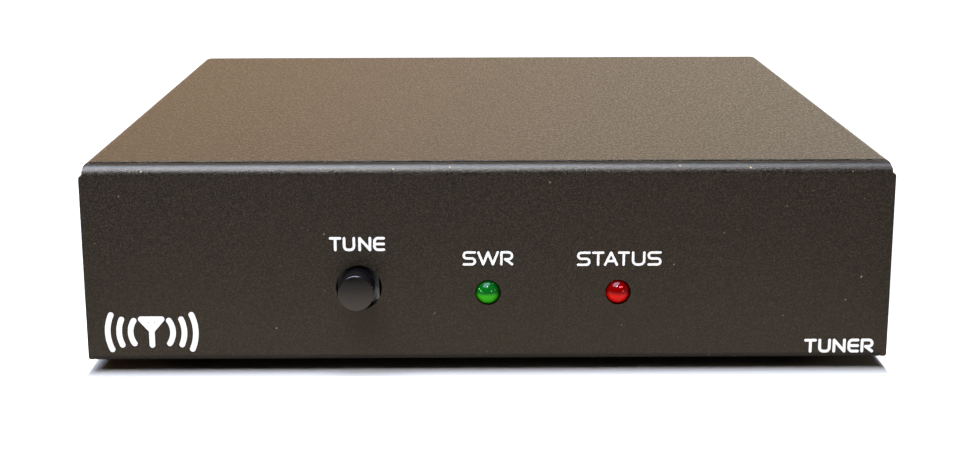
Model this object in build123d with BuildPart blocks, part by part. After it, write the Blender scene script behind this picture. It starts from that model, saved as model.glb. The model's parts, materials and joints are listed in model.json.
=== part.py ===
from build123d import *

import os
from math import cos, pi, radians, sin, sqrt

# Automatic antenna tuner for a radio desk, in millimetres.
# +X is to the right seen from the front, +Y to the rear, +Z up.
# The origin is on the table, midway between the button's face and the sockets' rims.

# ---- Driving dimensions: the box ----
WIDTH = 155.0
DEPTH = 160.0
BODY_HEIGHT = 38.8
FOOT_HEIGHT = 2.5
SHEET = 1.0
BUTTON_REACH = 6.0
SOCKET_REACH = 15.8

FRONT_Y = BUTTON_REACH - (BUTTON_REACH + DEPTH + SOCKET_REACH) / 2
REAR_Y = FRONT_Y + DEPTH
BASE_Z = FOOT_HEIGHT
TOP_Z = BASE_Z + BODY_HEIGHT
SIDE_X = WIDTH / 2
FRONT_INSIDE_Y = FRONT_Y + SHEET
REAR_INSIDE_Y = REAR_Y - SHEET
FLOOR_Z = BASE_Z + SHEET

# ---- Folded sheets ----
TOP_BEND = 2.1
BOTTOM_BEND = 1.6
COVER_BEND = 2.0
JOGGLE_BEND = 1.05
JOGGLE_HOLLOW = 0.3
STRIP_DROP = 0.15
FLANGE_DROP = 1.05
JOGGLE_START = 2.85
JOGGLE_END = 3.3
FLANGE_DEPTH = 16.0
PAN_HALF = 76.4
ROLL_HALF = 76.85
ROLL_CORNER = 1.4
FLANGE_HALF = 75.0
PLATE_BOTTOM = 0.4
PLATE_TOP = 36.6
PLATE_CORNER = 0.5
SIDE_FLANGE_HEIGHT = 9.0
RELIEF = 1.0
CORNER_REACH = 4.0
COVER_GAP = 0.15
COVER_SETBACK = 3.35
COVER_SHOULDER = 2.4
COVER_EDGE = 0.15

# ---- Front controls ----
BUTTON_X = -25.05
BUTTON_Z = BASE_Z + 15.0
BUTTON_RADIUS = 3.42
BUTTON_RIM = 0.22
BUTTON_DOME = 0.25
BUTTON_HOLE_X = -24.8
BUTTON_HOLE_Z = BASE_Z + 14.6
BUTTON_HOLE_RADIUS = 4.43
BUTTON_TAIL = 0.8
SWITCH_SETBACK = 2.6
SWITCH_SIZE = 8.0
SWITCH_LENGTH = 13.0
SWITCH_WALL = 1.0
PLUNGER_SIZE = 3.0
PLUNGER_CLEARANCE = 0.05
PLUNGER_POCKET = 5.0
PLUNGER_COLLAR = 5.4
PLUNGER_COLLAR_LENGTH = 2.0
COLLAR_GAP = 0.2

SWR_LED_X = 0.0
STATUS_LED_X = 25.05
LED_Z = BASE_Z + 13.54
LED_RADIUS = 2.42
LED_HOLE_RADIUS = 2.47
LED_FACE_RADIUS = 2.075
LED_BARREL = 6.2
LED_FLANGE_RADIUS = 2.9
LED_FLANGE = 1.0
LED_PITCH = 2.54
LED_LEAD = 0.25
LED_LEAD_BEND = 0.7
LED_LEAD_REACH = 2.6

# ---- Fasteners, metric M3 ----
M3_RADIUS = 1.5
M3_BORE = 1.52
M3_HOLE = 1.65
M3_HEAD_RADIUS = 2.8
M3_HEAD = 2.0
M3_NUT_FLATS = 5.5
M3_NUT = 2.4
CLINCH_RADIUS = 1.85
CLINCH_HOLE = 1.9
RECESS_DEPTH = 1.1
RECESS_WIDTH = 0.9
RECESS_LENGTH = 3.0

# ---- Circuit board ----
STANDOFF_HEIGHT = 8.0
SWAGE_RADIUS = 2.08
SWAGE_HOLE = 2.1
BOARD_THICKNESS = 1.6
BOARD_HALF = 72.0
BOARD_FRONT_Y = FRONT_Y + 3.0
BOARD_REAR_Y = REAR_Y - 7.5
BOARD_BOTTOM = FLOOR_Z + STANDOFF_HEIGHT
BOARD_TOP = BOARD_BOTTOM + BOARD_THICKNESS
LEAD_END = BOARD_BOTTOM - 1.2

# ---- Rear panel ----
SOCKET_Z = BASE_Z + 19.4
RIG_SOCKET_X = 0.0
ANTENNA_SOCKET_X = 50.0
GROUND_X = 25.0
RADIO_JACK_X = -30.0
DC_JACK_X = -50.0
SOCKET_THREAD_RADIUS = 7.94
SOCKET_FLANGE = 25.4
SOCKET_FLANGE_THICKNESS = 3.2
SOCKET_SCREW_PITCH = 18.26
SOCKET_BOSS_RADIUS = 7.8
SOCKET_HOLE_RADIUS = 8.0
SOCKET_MOUTH_RADIUS = 6.3
SOCKET_MOUTH_FLOOR = 7.8
SOCKET_CORE_RADIUS = 5.6
CONTACT_RADIUS = 2.6
CONTACT_BORE = 2.05
CONTACT_BORE_DEPTH = 9.0
DC_JACK_Z = BOARD_TOP + 6.5
DC_CAVITY_RADIUS = 3.15
DC_CAVITY_DEPTH = 10.5
DC_PIN_RADIUS = 1.25
DC_PIN_TAIL_RADIUS = 1.05
DC_NOSE_RADIUS = 3.95
RADIO_JACK_Z = BOARD_TOP + 5.0
RADIO_BORE = 1.8
RADIO_NOSE_RADIUS = 2.95
RADIO_NOSE_REACH = 3.5
GROUND_Z = SOCKET_Z
STUD_RADIUS = 2.08
STUD_REACH = 15.5
STUD_GROOVE = 9.5
STUD_GROOVE_WIDTH = 0.8
WASHER_SEAT = 4.15
WASHER_THICKNESS = 0.8


# ---- Planes and shared shapes ----
def facing_front(x, y, z):
    """Plane at a point, looking out of the front panel; its Y is up."""
    return Plane(origin=(x, y, z), x_dir=(1, 0, 0), z_dir=(0, -1, 0))


def facing_rear(x, y, z):
    """Plane at a point, looking out of the rear panel; its Y is up."""
    return Plane(origin=(x, y, z), x_dir=(-1, 0, 0), z_dir=(0, 1, 0))


def facing_side(side, x, y, z):
    """Plane at a point, looking out to the right (1) or the left (-1); its Y is up."""
    return Plane(origin=(x, y, z), x_dir=(0, side, 0), z_dir=(side, 0, 0))


def block(low, high, mode=Mode.ADD):
    """Rectangular block between two opposite corners."""
    size = [high[i] - low[i] for i in range(3)]
    centre = [(high[i] + low[i]) / 2 for i in range(3)]
    with Locations(tuple(centre)):
        Box(*size, mode=mode)


def turned(seat, outline, mode=Mode.ADD):
    """Revolve (radius, height) points about the normal of the plane seat."""
    with BuildSketch(Plane(origin=seat.origin, x_dir=seat.x_dir, z_dir=-seat.y_dir)) as half:
        with BuildLine():
            Polyline(*outline, close=True)
        make_face()
    revolve(half.sketch, axis=Axis(seat.origin, seat.z_dir), mode=mode)


def disc(seat, radius, start, end, mode=Mode.ADD):
    """Round bar along the normal of seat, between two heights above it."""
    turned(seat, [(0, start), (radius, start), (radius, end), (0, end)], mode)


def tube(seat, outer, inner, start, end):
    """Round tube along the normal of seat, between two heights above it."""
    turned(seat, [(inner, start), (outer, start), (outer, end), (inner, end)])


def pan_head_screw(seat, length):
    """M3 pan-head screw with a cross recess; its head sits on the plane seat."""
    edge = M3_HEAD_RADIUS - 0.6
    turned(
        seat,
        [
            (0, -length),
            (M3_RADIUS - 0.3, -length),
            (M3_RADIUS, -length + 0.3),
            (M3_RADIUS, 0),
            (M3_HEAD_RADIUS, 0),
            (M3_HEAD_RADIUS, M3_HEAD - 0.8),
            (edge, M3_HEAD),
            (0, M3_HEAD),
        ],
    )
    with BuildSketch(seat.offset(M3_HEAD)) as recess:
        Rectangle(RECESS_LENGTH, RECESS_WIDTH)
        Rectangle(RECESS_WIDTH, RECESS_LENGTH)
    extrude(recess.sketch, amount=-RECESS_DEPTH, mode=Mode.SUBTRACT)


def hex_nut(seat, across_flats, height, bore):
    """Hexagonal nut standing on the plane seat."""
    with BuildSketch(seat) as outline:
        RegularPolygon(across_flats / 2, 6, major_radius=False)
        Circle(bore, mode=Mode.SUBTRACT)
    extrude(outline.sketch, amount=height)


def bent_wire(points, bend, radius):
    """Round wire along straight runs joined by arcs."""
    with BuildLine() as route:
        FilletPolyline(*points, radius=bend)
    with BuildSketch(Plane(origin=route.line @ 0, z_dir=route.line % 0)) as section:
        Circle(radius)
    sweep(section.sketch, path=route.line)


def folded_sheet(plane, corners, bends):
    """Section of a folded sheet: its outer skin has these corners, with its inside to their left."""
    points = [Vector(*corner) for corner in corners]
    runs = [(end - start).normalized() for start, end in zip(points, points[1:])]
    normals = [Vector(-run.Y, run.X) for run in runs]
    inside = [points[0] + normals[0] * SHEET]
    inside_bends = []
    for i, bend in enumerate(bends):
        before, after = normals[i], normals[i + 1]
        mitre = (before + after) * (SHEET / (1 + before.dot(after)))
        inside.append(points[i + 1] + mitre)
        turns_left = runs[i].cross(runs[i + 1]).Z > 0
        inside_bends.append(bend - SHEET if turns_left else bend + SHEET)
    inside.append(points[-1] + normals[-1] * SHEET)
    with BuildSketch(plane) as section:
        with BuildLine():
            outer_skin = FilletPolyline(*points, radius=bends)
            inner_skin = FilletPolyline(*inside, radius=inside_bends)
            Line(outer_skin @ 0, inner_skin @ 0)
            Line(outer_skin @ 1, inner_skin @ 1)
        make_face()
    return section.sketch


# ---- Places that several pieces share ----
COVER_SCREWS_Y = (FRONT_Y + 35, REAR_Y - 35)
COVER_SCREW_Z = BASE_Z + 4.8
STANDOFFS = [(x, y) for x in (-66, 66) for y in (FRONT_Y + 12, FRONT_Y + 80, REAR_Y - 16)]
FEET = [(x, y) for x in (-64, 64) for y in (FRONT_Y + 14, REAR_Y - 14)]
SOCKETS_X = (RIG_SOCKET_X, ANTENNA_SOCKET_X)
half_pitch = SOCKET_SCREW_PITCH / 2
SOCKET_SCREWS = [
    (x + dx, SOCKET_Z + dz)
    for x in SOCKETS_X
    for dx in (-half_pitch, half_pitch)
    for dz in (-half_pitch, half_pitch)
]

# ---- Chassis: front panel, bottom and rear panel folded from one sheet ----
strip_z = TOP_Z - STRIP_DROP
flange_z = TOP_Z - FLANGE_DROP
pan_outline = [
    (FRONT_Y + FLANGE_DEPTH, flange_z),
    (FRONT_Y + JOGGLE_END, flange_z),
    (FRONT_Y + JOGGLE_START, strip_z),
    (FRONT_Y, strip_z),
    (FRONT_Y, BASE_Z),
    (REAR_Y, BASE_Z),
    (REAR_Y, strip_z),
    (REAR_Y - JOGGLE_START, strip_z),
    (REAR_Y - JOGGLE_END, flange_z),
    (REAR_Y - FLANGE_DEPTH, flange_z),
]
front_bends = [JOGGLE_HOLLOW, JOGGLE_BEND, TOP_BEND, BOTTOM_BEND]
tray_outline = [
    (-PAN_HALF, BASE_Z + SIDE_FLANGE_HEIGHT),
    (-PAN_HALF, BASE_Z),
    (PAN_HALF, BASE_Z),
    (PAN_HALF, BASE_Z + SIDE_FLANGE_HEIGHT),
]

with BuildPart() as chassis:
    pan_section = folded_sheet(Plane.YZ, pan_outline, front_bends + front_bends[::-1])
    extrude(pan_section, amount=ROLL_HALF, both=True)

    # Only the rolled bends over the front and rear panels keep that width, with rounded corners.
    for side in (-1, 1):
        inner, outer = sorted((side * PAN_HALF, side * SIDE_X))
        block(
            (inner, FRONT_INSIDE_Y, BASE_Z - SHEET),
            (outer, REAR_INSIDE_Y, TOP_Z),
            Mode.SUBTRACT,
        )
        block(
            (inner, FRONT_Y - SHEET, BASE_Z - SHEET),
            (outer, REAR_Y + SHEET, BASE_Z + PLATE_TOP),
            Mode.SUBTRACT,
        )
        for roll_y, depth in ((FRONT_Y, COVER_SETBACK), (REAR_Y, -COVER_SETBACK)):
            with BuildSketch(facing_front(0, roll_y, 0)):
                with BuildLine():
                    RadiusArc(
                        (side * ROLL_HALF, strip_z - ROLL_CORNER),
                        (side * (ROLL_HALF - ROLL_CORNER), strip_z),
                        -side * ROLL_CORNER,
                    )
                    Polyline(
                        (side * (ROLL_HALF - ROLL_CORNER), strip_z),
                        (side * (ROLL_HALF - ROLL_CORNER), TOP_Z),
                        (side * SIDE_X, TOP_Z),
                        (side * SIDE_X, strip_z - ROLL_CORNER),
                        (side * ROLL_HALF, strip_z - ROLL_CORNER),
                    )
                make_face()
            extrude(amount=-depth, mode=Mode.SUBTRACT)

    # The joggled flanges taper in, to clear the bends of the top cover.
    for towards_rear, panel_y in ((1, FRONT_Y), (-1, REAR_Y)):
        for side in (-1, 1):
            with BuildSketch(Plane.XY.offset(TOP_Z)):
                with BuildLine():
                    Polyline(
                        (side * SIDE_X, panel_y + towards_rear * TOP_BEND),
                        (side * PAN_HALF, panel_y + towards_rear * TOP_BEND),
                        (side * FLANGE_HALF, panel_y + towards_rear * COVER_SETBACK),
                        (side * FLANGE_HALF, panel_y + towards_rear * (FLANGE_DEPTH + 1)),
                        (side * SIDE_X, panel_y + towards_rear * (FLANGE_DEPTH + 1)),
                        close=True,
                    )
                make_face()
            extrude(amount=-3 * SHEET, mode=Mode.SUBTRACT)

    # Side flanges turned up from the bottom, with bend reliefs at their ends.
    for side in (-1, 1):
        inner, outer = sorted((side * (PAN_HALF - 2 * SHEET), side * SIDE_X))
        block(
            (inner, FRONT_Y + CORNER_REACH - RELIEF, BASE_Z - SHEET),
            (outer, REAR_Y - CORNER_REACH + RELIEF, FLOOR_Z + SHEET),
            Mode.SUBTRACT,
        )
    tray_plane = facing_front(0, FRONT_Y + CORNER_REACH, 0)
    tray_section = folded_sheet(tray_plane, tray_outline, [BOTTOM_BEND, BOTTOM_BEND])
    extrude(tray_section, amount=-(DEPTH - 2 * CORNER_REACH))

    # Ears that bring the front and rear panels out to the full width of the box.
    for panel_y in (FRONT_Y, REAR_INSIDE_Y):
        for side in (-1, 1):
            inner, outer = sorted((side * PAN_HALF, side * SIDE_X))
            block(
                (inner, panel_y, BASE_Z + PLATE_BOTTOM),
                (outer, panel_y + SHEET, BASE_Z + PLATE_TOP),
            )
    ear_corners = chassis.edges().filter_by(Axis.Y).filter_by(
        lambda edge: abs(abs(edge.center().X) - SIDE_X) < 0.01
    )
    fillet(ear_corners, radius=PLATE_CORNER)

    # Front panel holes.
    disc(
        facing_front(BUTTON_HOLE_X, FRONT_Y, BUTTON_HOLE_Z),
        BUTTON_HOLE_RADIUS,
        -2 * SHEET,
        SHEET,
        Mode.SUBTRACT,
    )
    for led_x in (SWR_LED_X, STATUS_LED_X):
        disc(facing_front(led_x, FRONT_Y, LED_Z), LED_HOLE_RADIUS, -2 * SHEET, SHEET, Mode.SUBTRACT)

    # Rear panel holes: sockets and their screws, jacks, ground stud.
    rear_holes = [(x, SOCKET_Z, SOCKET_HOLE_RADIUS) for x in SOCKETS_X]
    rear_holes += [(x, z, M3_HOLE) for x, z in SOCKET_SCREWS]
    rear_holes.append((GROUND_X, GROUND_Z, STUD_RADIUS + 0.12))
    rear_holes.append((DC_JACK_X, DC_JACK_Z, DC_NOSE_RADIUS + 0.15))
    rear_holes.append((RADIO_JACK_X, RADIO_JACK_Z, RADIO_NOSE_RADIUS + 0.15))
    for x, z, radius in rear_holes:
        disc(facing_rear(x, REAR_Y, z), radius, -2 * SHEET, SHEET, Mode.SUBTRACT)

    # Holes for the standoffs in the bottom, and for the cover screws in the side flanges.
    for x, y in STANDOFFS:
        disc(Plane((x, y, BASE_Z)), SWAGE_HOLE, -SHEET, 2 * SHEET, Mode.SUBTRACT)
    for side in (-1, 1):
        for y in COVER_SCREWS_Y:
            seat = facing_side(side, side * PAN_HALF, y, COVER_SCREW_Z)
            disc(seat, CLINCH_HOLE, -2 * SHEET, SHEET, Mode.SUBTRACT)
chassis.part.label = "chassis"

# ---- Top cover: top and both sides folded from one sheet ----
cover_outline = [
    (SIDE_X, BASE_Z + PLATE_BOTTOM),
    (SIDE_X, TOP_Z),
    (-SIDE_X, TOP_Z),
    (-SIDE_X, BASE_Z + PLATE_BOTTOM),
]
cover_front_y = FRONT_INSIDE_Y + COVER_GAP
cover_rear_y = REAR_INSIDE_Y - COVER_GAP

with BuildPart() as top_cover:
    cover_plane = facing_front(0, cover_front_y, 0)
    cover_section = folded_sheet(cover_plane, cover_outline, [COVER_BEND, COVER_BEND])
    extrude(cover_section, amount=-(cover_rear_y - cover_front_y))

    # The top and its bends stop short of the rolled bends of the front and rear panels.
    for low_y, high_y in (
        (FRONT_Y, FRONT_Y + COVER_SETBACK),
        (REAR_Y - COVER_SETBACK, REAR_Y),
    ):
        block(
            (-SIDE_X - SHEET, low_y, TOP_Z - COVER_SHOULDER),
            (SIDE_X + SHEET, high_y, TOP_Z + SHEET),
            Mode.SUBTRACT,
        )
    cut_edges = top_cover.edges().filter_by(Axis.X).group_by(Axis.Z)[-1]
    fillet(cut_edges, radius=COVER_EDGE)

    # Countersunk holes for the side screws.
    for side in (-1, 1):
        for y in COVER_SCREWS_Y:
            turned(
                facing_side(side, side * SIDE_X, y, COVER_SCREW_Z),
                [(0, -2 * SHEET), (1.7, -2 * SHEET), (1.7, -SHEET), (2.8, 0.1), (0, 0.1)],
                Mode.SUBTRACT,
            )
top_cover.part.label = "top_cover"

# ---- Cover screws and the clinch nuts that they turn into ----
with BuildPart() as cover_screws:
    for side in (-1, 1):
        for y in COVER_SCREWS_Y:
            seat = facing_side(side, side * SIDE_X, y, COVER_SCREW_Z)
            turned(
                seat,
                [(0, -6.0), (1.2, -6.0), (M3_RADIUS, -5.7), (M3_RADIUS, -1.15), (2.6, -0.05), (0, -0.05)],
            )
            with BuildSketch(seat) as recess:
                Rectangle(2.6, 0.7)
                Rectangle(0.7, 2.6)
            extrude(recess.sketch, amount=-0.7, mode=Mode.SUBTRACT)
cover_screws.part.label = "cover_screws"

with BuildPart() as cover_clinch_nuts:
    for side in (-1, 1):
        for y in COVER_SCREWS_Y:
            seat = facing_side(side, side * (PAN_HALF - SHEET), y, COVER_SCREW_Z)
            turned(
                seat,
                [
                    (M3_BORE, 0.9),
                    (M3_BORE, -2.2),
                    (3.15, -2.2),
                    (3.15, 0),
                    (CLINCH_RADIUS, 0),
                    (CLINCH_RADIUS, 0.9),
                ],
            )
cover_clinch_nuts.part.label = "cover_clinch_nuts"

# ---- Rubber feet ----
with BuildPart() as rubber_feet:
    for x, y in FEET:
        turned(
            Plane((x, y, 0)),
            [(0, 0), (4.6, 0), (5.1, 0.4), (6.0, FOOT_HEIGHT), (0, FOOT_HEIGHT)],
        )
rubber_feet.part.label = "rubber_feet"

# ---- Board standoffs, swaged into the bottom, and the board screws ----
with BuildPart() as board_standoffs:
    for x, y in STANDOFFS:
        hex_nut(Plane((x, y, FLOOR_Z)), M3_NUT_FLATS, STANDOFF_HEIGHT, M3_BORE)
        tube(Plane((x, y, BASE_Z)), SWAGE_RADIUS, M3_BORE, 0.05, SHEET)
board_standoffs.part.label = "board_standoffs"

with BuildPart() as board_screws:
    for x, y in STANDOFFS:
        pan_head_screw(Plane((x, y, BOARD_TOP)), 6.0)
board_screws.part.label = "board_screws"

# ---- Tune button: a cap pressed on the plunger of a push switch ----
button_seat = facing_front(BUTTON_X, FRONT_Y, BUTTON_Z)
collar_y = FRONT_Y + SWITCH_SETBACK + SWITCH_WALL + COLLAR_GAP
switch_front_y = FRONT_Y + SWITCH_SETBACK
switch_rear_y = switch_front_y + SWITCH_LENGTH
half_switch = SWITCH_SIZE / 2
half_plunger = PLUNGER_SIZE / 2
plunger_tip_y = FRONT_Y + BUTTON_TAIL - PLUNGER_POCKET

with BuildPart() as tune_button_cap:
    crown = BUTTON_REACH - BUTTON_DOME
    with BuildSketch(Plane(origin=button_seat.origin, x_dir=button_seat.x_dir, z_dir=-button_seat.y_dir)):
        with BuildLine():
            Line((0, BUTTON_REACH), (0, -BUTTON_TAIL))
            Line((0, -BUTTON_TAIL), (BUTTON_RADIUS, -BUTTON_TAIL))
            Line((BUTTON_RADIUS, -BUTTON_TAIL), (BUTTON_RADIUS, crown))
            ThreePointArc(
                (BUTTON_RADIUS, crown),
                (BUTTON_RADIUS / 2, crown + BUTTON_DOME * 0.75),
                (0, BUTTON_REACH),
            )
        make_face()
    revolve(axis=Axis(button_seat.origin, button_seat.z_dir))
    rims = tune_button_cap.edges().filter_by(GeomType.CIRCLE).sort_by(SortBy.RADIUS)[:2]
    front_rim = rims.sort_by(Axis.Y)[0]
    fillet(front_rim, radius=BUTTON_RIM)
    with BuildSketch(button_seat.offset(-BUTTON_TAIL)):
        Rectangle(PLUNGER_SIZE, PLUNGER_SIZE)
    extrude(amount=PLUNGER_POCKET, mode=Mode.SUBTRACT)
tune_button_cap.part.label = "tune_button_cap"

with BuildPart() as tune_switch_plunger:
    block(
        (BUTTON_X - half_plunger, plunger_tip_y, BUTTON_Z - half_plunger),
        (BUTTON_X + half_plunger, collar_y, BUTTON_Z + half_plunger),
    )
    block(
        (BUTTON_X - PLUNGER_COLLAR / 2, collar_y, BUTTON_Z - PLUNGER_COLLAR / 2),
        (BUTTON_X + PLUNGER_COLLAR / 2, collar_y + PLUNGER_COLLAR_LENGTH, BUTTON_Z + PLUNGER_COLLAR / 2),
    )
    disc(facing_rear(BUTTON_X, collar_y + PLUNGER_COLLAR_LENGTH, BUTTON_Z), 1.1, 0, 2.5)
tune_switch_plunger.part.label = "tune_switch_plunger"

with BuildPart() as tune_switch_body:
    block(
        (BUTTON_X - half_switch, switch_front_y, BUTTON_Z - half_switch),
        (BUTTON_X + half_switch, switch_rear_y, BUTTON_Z + half_switch),
    )
    long_edges = tune_switch_body.edges().filter_by(Axis.Y)
    chamfer(long_edges, length=0.3)
    cavity = half_switch - SWITCH_WALL
    block(
        (BUTTON_X - cavity, switch_front_y + SWITCH_WALL, BUTTON_Z - cavity),
        (BUTTON_X + cavity, switch_rear_y - SWITCH_WALL, BUTTON_Z + cavity),
        Mode.SUBTRACT,
    )
    opening = half_plunger + PLUNGER_CLEARANCE
    block(
        (BUTTON_X - opening, switch_front_y - SWITCH_WALL, BUTTON_Z - opening),
        (BUTTON_X + opening, switch_front_y + 2 * SWITCH_WALL, BUTTON_Z + opening),
        Mode.SUBTRACT,
    )
tune_switch_body.part.label = "tune_switch_body"

SPRING_RADIUS = 1.9
SPRING_WIRE = 0.22
spring_front_y = collar_y + PLUNGER_COLLAR_LENGTH + SPRING_WIRE + 0.05
spring_length = switch_rear_y - SWITCH_WALL - SPRING_WIRE - 0.05 - spring_front_y

with BuildPart() as tune_switch_spring:
    with BuildLine() as coil:
        Helix(
            pitch=spring_length / 7,
            height=spring_length,
            radius=SPRING_RADIUS,
            center=(BUTTON_X, spring_front_y, BUTTON_Z),
            direction=(0, 1, 0),
        )
    with BuildSketch(Plane(origin=coil.line @ 0, z_dir=coil.line % 0)):
        Circle(SPRING_WIRE)
    sweep(is_frenet=True)
tune_switch_spring.part.label = "tune_switch_spring"

SWITCH_PINS = [
    (BUTTON_X + dx, switch_front_y + dy) for dx in (-2.5, 0.0, 2.5) for dy in (4.5, 9.5)
]
with BuildPart() as tune_switch_terminals:
    with BuildSketch(Plane.XY.offset(BUTTON_Z - half_switch)):
        with Locations(*SWITCH_PINS):
            Rectangle(0.8, 0.3)
    extrude(amount=-(BUTTON_Z - half_switch - LEAD_END))
tune_switch_terminals.part.label = "tune_switch_terminals"

# ---- LEDs ----
led_equator = FRONT_Y + sqrt(LED_RADIUS**2 - LED_FACE_RADIUS**2)
led_base_y = led_equator + LED_BARREL + LED_FLANGE


def led(x):
    """LED facing out of its panel hole: dome, barrel, and a flange with one flat."""
    with Locations((x, led_equator, LED_Z)):
        Sphere(LED_RADIUS)
    disc(facing_rear(x, led_equator, LED_Z), LED_RADIUS, 0, LED_BARREL + LED_FLANGE)
    disc(facing_rear(x, led_equator, LED_Z), LED_FLANGE_RADIUS, LED_BARREL, LED_BARREL + LED_FLANGE)
    block(
        (x + LED_RADIUS + 0.05, led_equator + LED_BARREL - 0.1, LED_Z - LED_FLANGE_RADIUS),
        (x + LED_FLANGE_RADIUS + 0.1, led_base_y + 0.1, LED_Z + LED_FLANGE_RADIUS),
        Mode.SUBTRACT,
    )


with BuildPart() as swr_led:
    led(SWR_LED_X)
swr_led.part.label = "swr_led"

with BuildPart() as status_led:
    led(STATUS_LED_X)
status_led.part.label = "status_led"

LED_LEADS = [
    (led_x + side * LED_PITCH / 2, led_base_y + LED_LEAD_REACH)
    for led_x in (SWR_LED_X, STATUS_LED_X)
    for side in (-1, 1)
]
with BuildPart() as led_leads:
    for x, down_y in LED_LEADS:
        lead_path = [(x, led_base_y, LED_Z), (x, down_y, LED_Z), (x, down_y, LEAD_END)]
        bent_wire(lead_path, LED_LEAD_BEND, LED_LEAD)
led_leads.part.label = "led_leads"

with BuildPart() as led_holders:
    for led_x in (SWR_LED_X, STATUS_LED_X):
        block(
            (led_x - 3.2, led_base_y + 0.05, BOARD_TOP),
            (led_x + 3.2, led_base_y + 4.6, LED_Z + 2.6),
        )
        block(
            (led_x - 1.9, led_base_y - 0.1, BOARD_TOP - 0.1),
            (led_x + 1.9, led_base_y + 3.6, LED_Z + 0.8),
            Mode.SUBTRACT,
        )
led_holders.part.label = "led_holders"


# ---- Screw-coupled coaxial sockets ----
def socket_shell(x):
    """Square flange, threaded barrel with a notched rim, and the boss through the panel."""
    seat = facing_rear(x, REAR_Y, SOCKET_Z)
    half = SOCKET_FLANGE / 2
    with BuildSketch(seat) as flange:
        RectangleRounded(2 * half, 2 * half, 2.0)
    extrude(flange.sketch, amount=SOCKET_FLANGE_THICKNESS)
    turned(
        seat,
        [
            (0, -SHEET - 0.4),
            (SOCKET_BOSS_RADIUS, -SHEET - 0.4),
            (SOCKET_BOSS_RADIUS, 0),
            (SOCKET_THREAD_RADIUS, 0),
            (SOCKET_THREAD_RADIUS, SOCKET_REACH - 0.4),
            (SOCKET_THREAD_RADIUS - 0.4, SOCKET_REACH),
            (0, SOCKET_REACH),
        ],
    )
    disc(seat, SOCKET_MOUTH_RADIUS, SOCKET_MOUTH_FLOOR, SOCKET_REACH + 1, Mode.SUBTRACT)
    disc(seat, SOCKET_CORE_RADIUS + 0.05, -2 * SHEET, SOCKET_REACH, Mode.SUBTRACT)
    with BuildSketch(seat.offset(SOCKET_REACH)) as notches:
        Rectangle(3 * SOCKET_THREAD_RADIUS, 2.2)
        Rectangle(2.2, 3 * SOCKET_THREAD_RADIUS)
    extrude(notches.sketch, amount=-0.9, mode=Mode.SUBTRACT)
    with BuildSketch(seat) as screw_holes:
        with GridLocations(SOCKET_SCREW_PITCH, SOCKET_SCREW_PITCH, 2, 2):
            Circle(M3_HOLE)
    extrude(screw_holes.sketch, amount=2 * SOCKET_FLANGE_THICKNESS, mode=Mode.SUBTRACT)


def socket_insulator(x):
    """Moulded insulator, flush with the bottom of the mouth."""
    seat = facing_rear(x, REAR_Y, SOCKET_Z)
    tube(seat, SOCKET_CORE_RADIUS, CONTACT_RADIUS + 0.02, -4.0, SOCKET_MOUTH_FLOOR)


def socket_contact(x):
    """Centre contact: a bored tube in front, a solder cup behind."""
    mouth = SOCKET_MOUTH_FLOOR - 0.05
    turned(
        facing_rear(x, REAR_Y, SOCKET_Z),
        [
            (0, mouth - CONTACT_BORE_DEPTH),
            (CONTACT_BORE, mouth - CONTACT_BORE_DEPTH),
            (CONTACT_BORE, mouth - 0.2),
            (CONTACT_BORE + 0.2, mouth),
            (CONTACT_RADIUS, mouth),
            (CONTACT_RADIUS, -6.5),
            (2.1, -6.5),
            (2.1, -10.0),
            (1.3, -10.0),
            (1.3, -7.0),
            (0, -7.0),
        ],
    )


with BuildPart() as rig_socket_shell:
    socket_shell(RIG_SOCKET_X)
rig_socket_shell.part.label = "rig_socket_shell"

with BuildPart() as rig_socket_insulator:
    socket_insulator(RIG_SOCKET_X)
rig_socket_insulator.part.label = "rig_socket_insulator"

with BuildPart() as rig_socket_contact:
    socket_contact(RIG_SOCKET_X)
rig_socket_contact.part.label = "rig_socket_contact"

with BuildPart() as antenna_socket_shell:
    socket_shell(ANTENNA_SOCKET_X)
antenna_socket_shell.part.label = "antenna_socket_shell"

with BuildPart() as antenna_socket_insulator:
    socket_insulator(ANTENNA_SOCKET_X)
antenna_socket_insulator.part.label = "antenna_socket_insulator"

with BuildPart() as antenna_socket_contact:
    socket_contact(ANTENNA_SOCKET_X)
antenna_socket_contact.part.label = "antenna_socket_contact"

with BuildPart() as socket_screws:
    for x, z in SOCKET_SCREWS:
        pan_head_screw(facing_rear(x, REAR_Y + SOCKET_FLANGE_THICKNESS, z), 8.0)
socket_screws.part.label = "socket_screws"

with BuildPart() as socket_nuts:
    for x, z in SOCKET_SCREWS:
        hex_nut(facing_front(x, REAR_INSIDE_Y, z), M3_NUT_FLATS, M3_NUT, M3_BORE)
socket_nuts.part.label = "socket_nuts"

# ---- Power inlet ----
dc_seat = facing_rear(DC_JACK_X, REAR_Y, DC_JACK_Z)
dc_back_y = REAR_Y - 15.0

with BuildPart() as dc_jack_body:
    block(
        (DC_JACK_X - 4.5, dc_back_y, BOARD_TOP),
        (DC_JACK_X + 4.5, REAR_INSIDE_Y - 0.1, BOARD_TOP + 11.0),
    )
    disc(dc_seat, DC_NOSE_RADIUS, -2 * SHEET, -0.05)
    disc(dc_seat, DC_CAVITY_RADIUS, -DC_CAVITY_DEPTH, SHEET, Mode.SUBTRACT)
    disc(dc_seat, DC_PIN_TAIL_RADIUS + 0.02, -20.0, SHEET, Mode.SUBTRACT)
    spring_slot = DC_JACK_Z - DC_CAVITY_RADIUS - 0.9
    block(
        (DC_JACK_X - 1.25, REAR_Y - 9.0, spring_slot),
        (DC_JACK_X + 1.25, REAR_Y - 2.5, DC_JACK_Z),
        Mode.SUBTRACT,
    )
    block(
        (DC_JACK_X - 1.25, REAR_Y - 9.0, BOARD_TOP - 1),
        (DC_JACK_X + 1.25, REAR_Y - 8.1, DC_JACK_Z),
        Mode.SUBTRACT,
    )
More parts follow.
